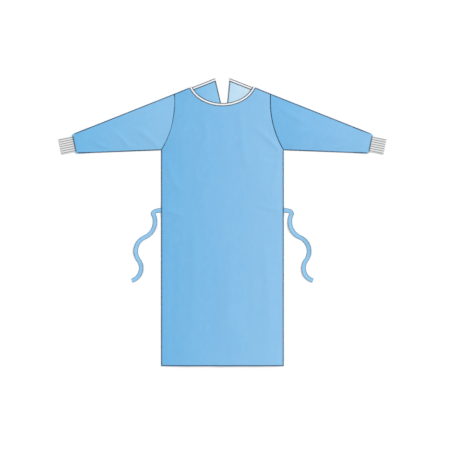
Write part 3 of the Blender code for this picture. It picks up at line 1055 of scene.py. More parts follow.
@dataclass(frozen=True)
class SeamLine:
    """A seam's line in plan and, at each point, the direction across it that its stitches reach in."""

    points: np.ndarray
    reach: np.ndarray

    @classmethod
    def through(cls, x: np.ndarray, y: np.ndarray, pitch: float, towards: float) -> "SeamLine":
        """Spaces a line evenly.

        Args:
            x: the line's points across.
            y: the line's points along the gown.
            pitch: distance between the new points.
            towards: 1 for stitches that reach to the line's left, -1 for its right.

        Returns:
            The seam line.
        """
        gone = np.concatenate([[0], np.cumsum(np.hypot(np.diff(x), np.diff(y)))])
        at = np.linspace(0, gone[-1], max(2, round(gone[-1] / pitch) + 1))
        points = np.stack([np.interp(at, gone, x), np.interp(at, gone, y)], axis=1)
        heading = np.gradient(points, axis=0)
        heading /= np.linalg.norm(heading, axis=1, keepdims=True)
        return cls(points, towards * np.stack([-heading[:, 1], heading[:, 0]], axis=1))

    @property
    def heading(self) -> np.ndarray:
        """The line's own direction at each point."""
        run = np.gradient(self.points, axis=0)
        return run / np.linalg.norm(run, axis=1)[:, None]


@dataclass(frozen=True)
class Overlock:
    """An overlocked seam: slanting threads across a narrow band, with a looped thread along each side."""

    workshop: Workshop
    material: bpy.types.Material
    band: float = 0.0040
    pitch: float = 0.0017
    radius: float = 0.00048
    stand: float = 0.00032
    overhang: float = 0.0002
    loop_shares: tuple[float, float] = (0.06, 0.94)
    loop_wobble: float = 0.00028

    def sew(
        self, name: str, lines: Sequence[SeamLine], height: Height, start: float, slot: Slot
    ) -> bpy.types.Object:
        """Sews one piece of thread along seam lines.

        Args:
            name: the thread's name.
            lines: the seams, spaced at the overlock's pitch.
            height: the cloth's upper face.
            start: where the band begins, across the seam line.
            slot: the record's finish that it stands for.

        Returns:
            The thread.
        """
        points, faces = [], []
        for line in lines:
            for rings in self._rings(line, height, start):
                corners, made = self.workshop.sweep(rings)
                base = sum(len(p) for p in points)
                points.append(corners)
                faces += [[base + k for k in face] for face in made]
        return self.workshop.piece(name, np.concatenate(points), faces, self.material, slot, sharp=70)

    def _rings(self, line: SeamLine, height: Height, start: float) -> list[np.ndarray]:
        """The rings of the crossing threads and of the two looped ones.

        Args:
            line: the seam's line.
            height: the cloth's upper face.
            start: where the band begins, across the seam line.

        Returns:
            The rings, as the workshop sweeps them.
        """
        shares = np.array([0.0, 0.18, 0.55, 0.85, 1.0])
        low = np.array([-0.25, 0.75, 1.0, 0.75, 0.1]) * self.stand
        slant = shares * self.pitch * 0.9
        heading, reach = line.heading, line.reach
        plan = line.points[:, None] + reach[:, None] * (start + shares * self.band)[:, None]
        plan = plan + heading[:, None] * slant[:, None]
        z = height(plan[..., 0], plan[..., 1]) + low
        beside = np.concatenate([heading, np.zeros((len(heading), 1))], axis=1)[:, None]
        paths = np.concatenate([plan, z[..., None]], axis=2)
        crossing = self.workshop.threads(paths, beside, self.radius, sides=4)
        rings = [crossing]
        for share in self.loop_shares:
            count = len(line.points) * 2 - 1
            at = np.arange(count) / 2
            own = np.arange(len(line.points))
            wobble = self.loop_wobble * np.cos(math.pi * np.arange(count))
            path = np.stack([np.interp(at, own, line.points[:, k]) for k in (0, 1)], axis=1)
            side = np.stack([np.interp(at, own, reach[:, k]) for k in (0, 1)], axis=1)
            path = path + side * (start + share * self.band + wobble)[:, None]
            z = height(path[:, 0], path[:, 1]) + self.stand * 0.9
            whole = np.concatenate([path, z[:, None]], axis=1)[None]
            flat = np.concatenate([side, np.zeros((count, 1))], axis=1)[None]
            rings.append(self.workshop.threads(whole, flat, self.radius * 0.9, sides=4))
        return rings


@dataclass(frozen=True)
class Topstitch:
    """A row of plain stitches along a tape or an edge."""

    workshop: Workshop
    material: bpy.types.Material
    length: float = 0.0028
    pitch: float = 0.0032
    radius: float = 0.00085

    def sew(self, name: str, lines: Sequence[np.ndarray], slot: Slot) -> bpy.types.Object:
        """Sews stitches along lines of points that lie on the cloth.

        Args:
            name: the thread's name.
            lines: for each row, its points in space, (points, 3).
            slot: the record's finish that it stands for.

        Returns:
            The thread.
        """
        bars = []
        for line in lines:
            gone = np.concatenate([[0], np.cumsum(np.linalg.norm(np.diff(line, axis=0), axis=1))])
            starts = np.arange(self.pitch / 2, gone[-1] - self.pitch, self.pitch)
            at = starts[:, None] + np.array([0, 0.2, 0.5, 0.8, 1.0]) * self.length
            path = np.stack([np.interp(at, gone, line[:, k]) for k in range(3)], axis=2)
            path[:, :, 2] += np.array([-0.9, 0.1, 0.45, 0.1, -0.9]) * self.radius
            run = path[:, -1] - path[:, 0]
            beside = np.stack([-run[:, 1], run[:, 0], 0 * run[:, 0]], axis=1)[:, None]
            bars.append(self.workshop.threads(path, beside, self.radius))
        corners, faces = self.workshop.sweep(np.concatenate(bars))
        return self.workshop.piece(name, corners, faces, self.material, slot, sharp=70)


# ------------------------------------------------------------------------------------ sub-assemblies


@dataclass
class Body:
    """The front panel and the two back panels, with their seams' thread."""

    pattern: Pattern
    laying: Laying
    workshop: Workshop
    finishes: Finishes
    neck_columns: int = 44
    shoulder_columns: int = 15
    rows: int = 178
    upper_rows: int = 58
    neck_allowance: float = 0.009
    close_steps: tuple[float, ...] = (0.0, 0.0005, 0.0013, 0.0024, 0.0040, 0.0062, 0.0092)
    close_share: float = 0.8
    back_columns: int = 56
    back_width: float = 0.25
    back_seam_low: float = 1.090
    front_length: float = 1.2995
    front_area: float = 0.697
    back_flats: Mapping[Side, tuple[float, float]] = field(
        default_factory=lambda: {Side.LEFT: (0.3721, 1.3383), Side.RIGHT: (0.3515, 1.3385)}
    )
    back_areas: Mapping[Side, float] = field(default_factory=lambda: {Side.LEFT: 0.429, Side.RIGHT: 0.390})

    def build(self) -> list[bpy.types.Object]:
        """Builds the three panels and the overlocked seams.

        Returns:
            The pieces.
        """
        front = self._front()
        backs = [self._back(side) for side in Side]
        threads = self._seams()
        return [front, *backs, *threads]

    def _heights(self, top: float) -> np.ndarray:
        """Heights of one column's rows, from the hem to its upper end.

        Args:
            top: the height at which the column ends.

        Returns:
            The heights.
        """
        p = self.pattern
        low = np.linspace(self.close_steps[-1], p.underarm, self.rows)
        high = np.linspace(p.underarm, top - self.close_steps[-1], self.upper_rows)
        near_top = top - np.array(self.close_steps[:-1][::-1])
        return np.concatenate([self.close_steps[:-1], low, high[1:], near_top])

    def _grid(self, columns: Sequence[tuple[Callable[[np.ndarray], np.ndarray], float]]) -> np.ndarray:
        """Plan of a panel: rows of columns, each column given by its x at a height and its top.

        Args:
            columns: for each column, its x at a height, and its top.

        Returns:
            The plan, rows of columns of x and y.
        """
        lines = []
        for x_of, top in columns:
            heights = self._heights(top)
            lines.append(np.stack([x_of(heights), heights], axis=1))
        return np.stack(lines, axis=1)

    def _front_x(self, share: float, heights: np.ndarray) -> np.ndarray:
        """Where a column of the front lies, as a share of its half width."""
        return share * self.pattern.half_width(heights)

    def _back_x(self, side: Side, share: float, heights: np.ndarray) -> np.ndarray:
        """Where a column of a back panel lies, from its centre edge (0) to its side (1)."""
        p = self.pattern
        return mix(p.back_edge_x(side, heights), side.value * p.half_width(heights), share)

    def _cut_edge(self, x: float) -> float:
        """Height at which a back panel ends: inside its binding, and at the shoulder line past it.

        Args:
            x: places across from the centre line.

        Returns:
            The height.
        """
        p = self.pattern
        bound = 1 - float(smooth((abs(x) - 0.139) / 0.011))
        return float(p.shoulder_line(x)) - (p.binding_width - self.neck_allowance) / p.shoulder_cos * bound

    def _front(self) -> bpy.types.Object:
        """The front, with its neck edge inside the binding.

        Returns:
            The panel.
        """
        p = self.pattern
        angles = np.linspace(0, p.neck_end_angle(self.neck_allowance), self.neck_columns + 1)
        neck = [p.neck_point(a, self.neck_allowance) for a in angles]
        close = p.armhole_top_x - np.array(self.close_steps[::-1]) * self.close_share
        shoulder = np.linspace(neck[-1][0], close[0], self.shoulder_columns)[1:-1]
        half = neck + [(x, p.shoulder_line(x)) for x in (*shoulder, *close)]
        tops = [(-x, y) for x, y in half[:0:-1]] + half
        columns = []
        for x_top, y_top in tops:
            share = float(x_top / p.half_width(y_top))
            columns.append((partial(self._front_x, share), float(y_top)))
        plan = self._grid(columns)
        top = np.dstack([plan, self.laying.top(plan[..., 0], plan[..., 1])])
        under = top - np.array([0, 0, self.laying.sheet])
        points, faces = self.workshop.shell(top, under)
        front = self.workshop.piece("gown_front", points, faces, self.finishes.front, Slot.CLOTH)
        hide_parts("front_panel")
        return front

    def _back(self, side: Side) -> bpy.types.Object:
        """One back panel, its upper face the pale inside and its lower face as the outside of the gown, both
        with painted shading across them.

        Args:
            side: which side of the gown.

        Returns:
            The panel.
        """
        close = np.array(self.close_steps) / self.back_width
        first, last = close * self.close_share, 1 - close[::-1] * self.close_share
        even = np.linspace(close[-1] * self.close_share, 1 - close[-1] * self.close_share, self.back_columns)
        columns = []
        for share in np.concatenate([first, even[1:-1], last]):
            x_of = partial(self._back_x, side, share)
            top = self.pattern.armhole_top
            for _ in range(14):
                top = self._cut_edge(float(x_of(top)))
            columns.append((x_of, top))
        plan = self._grid(columns)
        under = np.dstack([plan, self.laying.back_underside(side, plan[..., 0], plan[..., 1])])
        top = under + np.array([0, 0, self.laying.sheet])
        points, faces = self.workshop.shell(top, under)
        inside = self.finishes.insides[side]
        back = self.workshop.piece(f"gown_back_{side.word}", points, faces, inside, Slot.CLOTH)
        back.data.materials.append(self.finishes.front)
        normals = np.empty(len(back.data.polygons) * 3)
        back.data.polygons.foreach_get("normal", normals)
        below = (normals.reshape(-1, 3)[:, 2] < 0.2).astype(np.int32)
        back.data.polygons.foreach_set("material_index", below)
        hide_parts(f"back_panel_{side.word}")
        return back

    def _seams(self) -> list[bpy.types.Object]:
        """The overlocked seams that show on top: sides, hem, armholes, shoulders and back edges.

        Returns:
            The pieces of thread.
        """
        p = self.pattern
        sewing = Overlock(self.workshop, self.finishes.thread)
        pitch = sewing.pitch
        sides, armholes, shoulders = [], [], []
        for side in Side:
            s = side.value
            y = np.linspace(0.004, p.underarm - 0.001, 200)
            sides.append(SeamLine.through(np.full_like(y, s * p.half_body), y, pitch, towards=s))
            y = np.linspace(p.underarm + 0.002, p.armhole_top - 0.002, 120)
            armholes.append(SeamLine.through(s * p.armhole_x(y), y, pitch, towards=s))
            x = np.linspace(p.neck_corner_x, p.armhole_top_x, 40)
            shoulders.append(SeamLine.through(s * x, p.shoulder_line(x), pitch, towards=-s))
        x = np.linspace(-p.half_body + 0.001, p.half_body - 0.001, 200)
        hem = SeamLine.through(x, 0 * x + 0.0002, pitch, towards=1)
        top = self.laying.top
        made = [
            sewing.sew("overlock_sides", sides, top, -sewing.overhang, Slot.CLOTH),
            sewing.sew("overlock_armholes", armholes, top, -sewing.band / 2, Slot.CLOTH),
            sewing.sew("overlock_shoulders", shoulders, top, -sewing.overhang, Slot.CLOTH),
            sewing.sew("overlock_hem", [hem], top, 0.0, Slot.CLOTH),
        ]
        for side in Side:
            y = np.linspace(self.back_seam_low, p.tip_height - p.binding_width - 0.001, 120)
            line = SeamLine.through(p.back_edge_x(side, y), y, pitch, towards=-side.value)
            face = partial(self.laying.back_top, side)
            made.append(sewing.sew(f"overlock_back_{side.word}", [line], face, 0.0, Slot.CLOTH))
        return made


@dataclass
class NeckBinding:
    """The folded tape round the neck: one curve on the front and a straight piece on each back panel."""

    pattern: Pattern
    laying: Laying
    workshop: Workshop
    finishes: Finishes
    tape: float = 0.00055
    fold_radius: float = 0.00085
    stations: int = 150
    edge_band: float = 0.0030
    edge_insets: tuple[float, ...] = (0.0001, 0.0108)
    curve_length: float = 0.365
    straight_length: float = 0.114

    def build(self) -> list[bpy.types.Object]:
        """Builds the three tapes and the thread that sews both of their edges.

        Returns:
            The pieces.
        """
        sewing = Overlock(self.workshop, self.finishes.thread, band=self.edge_band)
        front = self._front()
        curve = self._front_lines(sewing.pitch)
        curve_thread = sewing.sew("overlock_neck_front", curve, self._front_top, 0.0, Slot.NECK)
        backs = [self._back(side) for side in Side]
        top = self.pattern.tape_lift + self.laying.sheet / 2 + self.fold_radius + self.tape / 2
        threads = []
        for side in Side:
            lines = self._back_lines(side, sewing.pitch)
            threads.append(sewing.sew(f"overlock_neck_{side.word}", lines, level_face(top), 0.0, Slot.NECK))
        return [front, curve_thread, *backs, *threads]

    def _front_top(self, x: np.ndarray, y: np.ndarray) -> np.ndarray:
        """Height of the upper face of the curved tape."""
        middle = self.pattern.front_underside(x, y) + self.pattern.cloth - self.laying.sheet / 2
        return middle + self.fold_radius + self.tape / 2

    def _front_lines(self, pitch: float) -> list[SeamLine]:
        """The two sewn edges of the curved tape.

        Args:
            pitch: distance between stitches.

        Returns:
            The two lines.
        """
        p = self.pattern
        shares = np.linspace(-0.995, 0.995, 240)
        plans = [p.neck_point(shares * p.neck_end_angle(inset), inset) for inset in self.edge_insets]
        return [SeamLine.through(x, y, pitch, towards=1) for x, y in plans]

    def _back_lines(self, side: Side, pitch: float) -> list[SeamLine]:
        """The two sewn edges of a straight tape.

        Args:
            side: which side of the gown.
            pitch: distance between stitches.

        Returns:
            The two lines.
        """
        shares = np.linspace(0.01, 0.99, 60)
        plans = [self._back_plan(side, inset, shares) for inset in self.edge_insets]
        return [SeamLine.through(x, y, pitch, towards=side.value) for x, y in plans]

    def section(self) -> np.ndarray:
        """The folded tape in section: (distance in from its open edge, height above the cloth's middle).

        Returns:
            The section's corners in order.
        """
        fold = self.pattern.binding_width - self.fold_radius - self.tape / 2
        half, r = self.tape / 2, self.fold_radius
        leg = np.array([0.0, 0.0006, 0.003, 0.006, 0.0095])
        swell = np.array([-0.28, -0.12, 0.06, 0.10, 0.06]) * 1e-3
        turn = np.radians(np.linspace(90, -90, 9))
        middle_top = np.stack([leg, r + swell], axis=1)
        middle_fold = np.stack([fold + r * np.cos(turn), r * np.sin(turn)], axis=1)
        middle = np.concatenate([middle_top, middle_fold, middle_top[::-1] * [1, -1]])
        heading = np.gradient(middle, axis=0)
        heading /= np.linalg.norm(heading, axis=1, keepdims=True)
        side = np.stack([-heading[:, 1], heading[:, 0]], axis=1) * half
        return np.concatenate([middle + side, (middle - side)[::-1]])

    def _front(self) -> bpy.types.Object:
        """The curved tape on the front.

        Returns:
            The tape.
        """
        p = self.pattern
        section = self.section()
        shares = np.linspace(-1, 1, self.stations + 1)
        rings = []
        for inset, height in section:
            angle = shares * p.neck_end_angle(inset)
            x, y = p.neck_point(angle, inset)
            middle = p.front_underside(x, y) + p.cloth - self.laying.sheet / 2
            rings.append(np.stack([x, y, middle + height + 0.00005 * np.sin(shares * 160)], axis=1))
        points, faces = self.workshop.sweep(np.stack(rings, axis=1)[None])
        made = self.workshop.piece("neck_binding_curve", points, faces, self.finishes.binding, Slot.NECK)
        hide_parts("neck_binding_front")
        return made

    def _start_x(self, below: float) -> float:
        """Where a line this far under the shoulder line meets the front binding's inner edge.

        Args:
            below: distance under the shoulder line.

        Returns:
            The distance from the centre line.
        """
        p = self.pattern
        low, high = 0.0, p.neck_half_width - p.binding_width
        for _ in range(40):
            x = (low + high) / 2
            span = math.sqrt(1 - (x / (p.neck_half_width - p.binding_width)) ** 2)
            neck = p.neck_centre - (p.neck_depth - p.binding_width) * span
            low, high = (x, high) if neck < p.shoulder_line(x) - below else (low, x)
        return low - 0.0004

    def _back_plan(self, side: Side, inset: float, shares: np.ndarray) -> tuple[np.ndarray, np.ndarray]:
        """A line along a straight tape, inset from its open edge, from the curved tape to the back opening.

        Args:
            side: which side of the gown.
            inset: how far in from the neckline's edge.
            shares: shares of the way along the tape.

        Returns:
            The line's x and y.
        """
        p = self.pattern
        below = (p.binding_width - inset) / p.shoulder_cos
        end = side.value * float(p.back_edge_x(side, p.shoulder_line(p.edges[side].tip_x) - below))
        x = side.value * mix(self._start_x(below), end, shares)
        return x, p.shoulder_line(x) - below

    def _back(self, side: Side) -> bpy.types.Object:
        """A straight tape on one back panel.

        Args:
            side: which side of the gown.

        Returns:
            The tape.
        """
        shares = np.linspace(0, 1, 41)
        level = self.pattern.tape_lift + self.laying.sheet / 2
        rings = []
        for inset, height in self.section():
            x, y = self._back_plan(side, inset, shares)
            rings.append(np.stack([x, y, 0 * x + level + height], axis=1))
        points, faces = self.workshop.sweep(np.stack(rings, axis=1)[None])
        name = f"neck_binding_{side.word}"
        made = self.workshop.piece(name, points, faces, self.finishes.binding, Slot.NECK)
        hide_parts(f"neck_binding_back_{side.word}")
        return made


@dataclass
class Sleeve:
    """One sleeve, folded along its upper edge, seamed along its lower one and gathered to its knit cuff."""

    side: Side
    pattern: Pattern
    laying: Laying
    workshop: Workshop
    finishes: Finishes
    stations: int = 84
    corner_stations: int = 9
    mouth_reach: float = 0.005
    gather_pitch: float = 0.0085
    gather_height: float = 0.0010
    cuff_tilt: float = math.radians(11.8)
    cuff_width: float = 0.074
    cuff_length: float = 0.0665
    cuff_thick: float = 0.0036
    cuff_wall: float = 0.0013
    cuff_insert: float = 0.008
    cuff_settle: float = 0.016
    rib_pitch: float = 0.0106
    rib_height: float = 0.00085

    rib_bluntness: float = 0.75
    length: float = 0.39
    flat: tuple[float, float] = (0.55, 0.475)
    flat_area: float = 0.1563
    lift_start: float = 0.80
    lift_run: float = 0.155
    side_height: float = 0.00125
    mouth_ease: float = 0.0026
    thinnest: float = 0.00004
    cuff_seam_inset: float = 0.0036
    cuff_seam_half: float = 0.0365

    def build(self) -> list[bpy.types.Object]:
        """Builds the sleeve, its cuff and their seams' thread.

        Returns:
            The pieces.
        """
        sleeve = self._sleeve()
        cuff = self._cuff()
        threads = self._seams()
        cuff_flat = (2 * self.cuff_width, round(self.cuff_length + self.cuff_insert, 4))
        return [sleeve, cuff, *threads]

    @property
    def _mouth_top(self) -> float:
        """Height of the sleeve's upper half where it lies on the cuff."""
        p = self.pattern
        return p.layer + self.cuff_thick + p.gap + p.cloth

    @property
    def _mouth_width(self) -> float:
        """Width of the sleeve's gathered mouth."""
        return self.cuff_width + self.mouth_ease

    def _lift(self, station: Any) -> Any:
        """How far the sleeve has risen onto the cuff, from 0 at the armhole to 1 near its end."""
        return smooth((station - self.lift_start) / self.lift_run)

    def _side_height(self, lift: Any) -> Any:
        """Height of the sleeve's two folded sides."""
        return mix(self.side_height, self._mouth_top / 2, lift)

    def _plan(self, station: Any, share: Any) -> tuple[Any, Any]:
        """The sleeve's plan from armhole (0) to end (1), share of the way from its upper edge down.

        Args:
            station: where along the sleeve, from 0 at the armhole to 1 at its end.
            share: share of the way from its upper edge down.

        Returns:
            The plan's x and y.
        """
        p = self.pattern
        y = mix(p.armhole_top, p.underarm, share)
        end_x = mix(p.sleeve_end_top_x, p.sleeve_end_low[0], share)
        end_y = mix(p.shoulder_line(p.sleeve_end_top_x), p.sleeve_end_low[1], share)
        return mix(p.armhole_x(y) + p.gap, end_x, station), mix(y, end_y, station)

    @property
    def _axis(self) -> tuple[np.ndarray, np.ndarray, np.ndarray]:
        """(middle of the sleeve's mouth, direction out of it, direction across it towards the hem).

        Returns:
            The middle and the two directions.
        """
        out = np.array([math.cos(self.cuff_tilt), -math.sin(self.cuff_tilt)])
        across = np.array([-math.sin(self.cuff_tilt), -math.cos(self.cuff_tilt)])
        middle = (np.array(self._plan(1.0, 0.0)) + np.array(self._plan(1.0, 1.0))) / 2
        return middle + out * self.mouth_reach, out, across

    def _shares(self) -> np.ndarray:
        """Shares of the width at which the sleeve's loops have points, close together at its edges."""
        close = np.array([0.0, 0.002, 0.006, 0.012, 0.021, 0.034, 0.052, 0.075])
        return np.concatenate([close, np.linspace(0.1, 0.9, 41), 1 - close[::-1]])

    def _sleeve(self) -> bpy.types.Object:
        """The sleeve's tube, whose end turns in to the cuff.

        Returns:
            The sleeve.
        """
        stations = 1 - (1 - np.linspace(0, 1, self.stations)) ** 1.15
        skins: list[list[np.ndarray]] = [[], []]
        for k in range(self.stations + self.corner_stations):
            corner = max(0.0, (k - self.stations + 1) / self.corner_stations) * math.pi / 2
            for skin, loop in zip(skins, self._loops(stations[min(k, self.stations - 1)], corner)):
                skin.append(loop)
        points, faces = self.workshop.tube(np.stack(skins[0]), np.stack(skins[1]))
        name = f"gown_sleeve_{self.side.word}"
        made = self.workshop.piece(name, points, faces, self.finishes.sleeves[self.side], Slot.CLOTH)
        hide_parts(f"sleeve_{self.side.word}")
        return made

    def _loops(self, station: float, corner: float) -> list[np.ndarray]:
        """The outer and the inner loop of points round the sleeve.

        Args:
            station: where along the sleeve, from 0 at the armhole to 1 at its end.
            corner: angle by which the end has turned in to the cuff, 0 before it.

        Returns:
            The two loops.
        """
        lay = self.laying
        shares = self._shares()
        x, y = self._plan(station, shares)
        wide = math.hypot(x[-1] - x[0], y[-1] - y[0])
        lift = self._lift(station)
        high, relief = self._heights(x, y, lift)
        if corner > 0:
            narrow = 1 - math.cos(corner)
            x, y = self._turned_in(np.stack([x, y]), shares, corner)
            high = mix(high, self._mouth_top, narrow)
            relief = relief * (1 - narrow)
            wide = mix(wide, self._mouth_width, narrow)
        from_mouth = (1 - station) * self.length + self.mouth_reach * (1 - math.sin(corner))
        place = shares * wide
        gather = self._gathers(place, from_mouth)
        radius = max(lay.edge_round, 0.6 * (high.mean() if corner > 0 else 0.0))
        round_off = rounded(np.minimum(place, wide - place) / radius)
        middle = self._side_height(lift)
        centre = np.array([(x[0] + x[-1]) / 2, (y[0] + y[-1]) / 2])
        loops = []
        for wall in (0.0, lay.sheet):
            upper = np.maximum((high + relief + gather - middle) * round_off - wall, self.thinnest)
            under = np.maximum((middle - self.thinnest / 2) * round_off - wall, self.thinnest)
            upper[[0, -1]] = 0.0
            plan = centre + (np.stack([x, y], axis=1) - centre) * (1 - 2 * wall / wide)
            above = np.column_stack([plan, middle + upper])
            below = np.column_stack([plan, middle - under])[-2:0:-1]
            loops.append(np.concatenate([above, below]) * [self.side.value, 1, 1])
        return loops

    def _heights(self, x: np.ndarray, y: np.ndarray, lift: float) -> tuple[np.ndarray, np.ndarray]:
        """Heights of the sleeve's upper face.

        Args:
            x: places across from the centre line.
            y: places up from the hem.
            lift: how far the sleeve has risen onto the cuff.

        Returns:
            The plain height, and what the folds and seams add to it.
        """
        p, lay = self.pattern, self.laying
        top = lay.top(np.minimum(x, p.sleeve_end_top_x), y)
        own = p.front_underside(x, y) + p.cloth
        edge = rounded(p.edge_distance(x, y) / lay.edge_round)
        flat_top = own + mix(lay.lip, p.cloth, edge) - p.cloth
        crown = p.crown * smooth(p.edge_distance(x, y) / p.crown_reach) * lift
        return own - crown + (self.cuff_thick + p.gap) * lift, (top - flat_top) * (1 - lift * 0.6)

    def _turned_in(self, start: np.ndarray, shares: np.ndarray, corner: float) -> np.ndarray:
        """Plan of a loop in the corner that turns the sleeve's end in to the cuff.

        Args:
            start: plan of the loop where the corner begins.
            shares: the loop's shares of the width.
            corner: angle by which it has turned in.

        Returns:
            The plan, x and y.
        """
        middle, out, across = self._axis
        end = middle[:, None] + across[:, None] * (shares - 0.5) * self._mouth_width
        reach = out[:, None] * (self.mouth_reach * math.sin(corner))
        narrow = 1 - math.cos(corner)
        spread = mix(start - start.mean(axis=1)[:, None], end - end.mean(axis=1)[:, None], narrow)
        return spread + ((start[:, :1] + start[:, -1:]) / 2) + reach

    def _gathers(self, place: np.ndarray, from_mouth: float) -> np.ndarray:
        """Small gathers that the cuff's seam draws up.

        Args:
            place: distance across the sleeve from its upper edge.
            from_mouth: distance from the sleeve's mouth.

        Returns:
            The height that they add.
        """
        wander, sign = self.laying.wander, self.side.value
        strength = smooth(1 - from_mouth / 0.040) * (1 - 0.55 * smooth(1 - from_mouth / 0.004))
        phase = 2 * math.pi * place / self.gather_pitch + 2.4 * wander(place * 4, place * 0 + 0.3 * sign)
        uneven = 0.7 + 0.3 * wander(place * 3, place * 0 + 1.1)
        return self.gather_height * strength * np.sin(phase) * uneven

    def _cuff(self) -> bpy.types.Object:
        """The knit cuff: a flattened ribbed tube, its inner end held in the sleeve's mouth.

        Returns:
            The cuff.
        """
        rim = np.concatenate([[0, 0.0004, 0.0011, 0.002], np.linspace(0.003, self.cuff_width - 0.003, 130)])
        rim = np.concatenate([rim, self.cuff_width - np.array([0.002, 0.0011, 0.0004, 0])])
        alongs = np.concatenate([[-self.cuff_insert, 0.0005], np.linspace(0.004, self.cuff_length, 34)])
        alongs = np.concatenate([alongs[:-1], self.cuff_length - np.array([0.0010, 0.0004, 0.0])])
        skins: list[list[np.ndarray]] = [[], []]
        for along in alongs:
            for skin, loop in zip(skins, self._cuff_loops(rim, along)):
                skin.append(loop)
        points, faces = self.workshop.tube(np.stack(skins[0]), np.stack(skins[1]))
        middle = self._axis[0]
        centre = (middle * [self.side.value, 1] + self.workshop.shift[:2]).tolist()
        name = f"rib_knit_{self.side.word}"
        knit = KnitFinish(name, self.side, self.cuff_tilt, tuple(centre), self.rib_pitch)
        made = self.workshop.piece(f"knit_cuff_{self.side.word}", points, faces, knit.material(), Slot.KNIT)
        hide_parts(f"cuff_{self.side.word}")
        return made

    def _cuff_loops(self, rim: np.ndarray, along: float) -> list[np.ndarray]:
        """The outer and the inner loop of points round the cuff.

        Args:
            rim: distances across the cuff from its upper edge.
            along: distance out from the sleeve's mouth.

        Returns:
            The two loops.
        """
        p = self.pattern
        middle, out, across = self._axis
        end = rounded((self.cuff_length - along + 0.0003) / 0.0012)
        low = p.layer * (1 - float(smooth((along - 0.0005) / (self.cuff_settle - 0.0005))))
        rib = np.abs(np.sin(math.pi * (rim - self.cuff_width / 2) / self.rib_pitch)) ** self.rib_bluntness
        sway = 0.0004 * math.sin(along * 95 + self.side.value)
        edge = rounded(np.minimum(rim, self.cuff_width - rim) / 0.0024)
        body = self.cuff_thick / 2
        ribbed = (body - self.rib_height * (1 - rib)) * edge * mix(0.6, 1.0, end)
        loops = []
        for wall, bulge in ((0.0, ribbed), (self.cuff_wall, (body - self.cuff_wall) * edge)):
            half = np.maximum(bulge, 0.0001)
            half[[0, -1]] = 0.0
            aside = (rim - self.cuff_width / 2) * (1 - 2 * wall / self.cuff_width) + sway
            plan = middle + out * along + across * aside[:, None]
            above = np.column_stack([plan, low + body + half])
            below = np.column_stack([plan, low + body - half])[-2:0:-1]
            loops.append(np.concatenate([above, below]) * [self.side.value, 1, 1])
        return loops

    def _seams(self) -> list[bpy.types.Object]:
        """The overlocked lower and upper edges and the seam that joins the cuff.

        Returns:
            The two pieces of thread.
        """
        p = self.pattern
        sign = self.side.value
        sewing = Overlock(self.workshop, self.finishes.thread)
        share = np.linspace(0.0, 0.985, 120)
        x = mix(p.half_body, p.sleeve_end_low[0], share)
        y = mix(p.underarm, p.sleeve_end_low[1], share)
        lower = SeamLine.through(sign * x, y, sewing.pitch, towards=sign)
        x = mix(p.armhole_top_x, p.sleeve_end_top_x, share)
        upper = SeamLine.through(sign * x, p.shoulder_line(x), sewing.pitch, towards=-sign)
        edges = [lower, upper]
        name = f"overlock_sleeve_{self.side.word}"
        made = [sewing.sew(name, edges, self._seam_height, -sewing.overhang, Slot.CLOTH)]
        middle, out, across = self._axis
        aside = np.linspace(-self.cuff_seam_half, self.cuff_seam_half, 40)
        ring = (middle - out * self.cuff_seam_inset + across * aside[:, None]) * [sign, 1]
        line = SeamLine.through(ring[:, 0], ring[:, 1], sewing.pitch, towards=sign)
        arch = level_face(self._mouth_top - 0.0001)
        made.append(sewing.sew(f"overlock_cuff_{self.side.word}", [line], arch, 0.0, Slot.CLOTH))
        return made

    def _seam_height(self, x: np.ndarray, y: np.ndarray) -> np.ndarray:
        """Height of the sleeve's rounded edges.

        Args:
            x: places across from the centre line.
            y: places up from the hem.

        Returns:
            The height.
        """
        p = self.pattern
        lift = self._lift((abs(x) - p.half_body) / (p.sleeve_end_low[0] - p.half_body))
        middle = self._side_height(lift)
        high = p.front_underside(x, y) + p.cloth + (self.cuff_thick + p.gap) * lift
        return middle + (high - middle) * rounded(p.edge_distance(x, y) / self.laying.edge_round)


@dataclass(frozen=True)
class Arc:
    """A stretch of a tie's route: its length, and its turn in degrees, positive to the left."""

    length: float
    turn: float


TIE_ROUTE = (
    Arc(length=0.024, turn=18),
    Arc(length=0.006, turn=22),
    Arc(length=0.015, turn=74),
    Arc(length=0.125, turn=-90),
    Arc(length=0.127, turn=102),
    Arc(length=0.117, turn=-109),
)


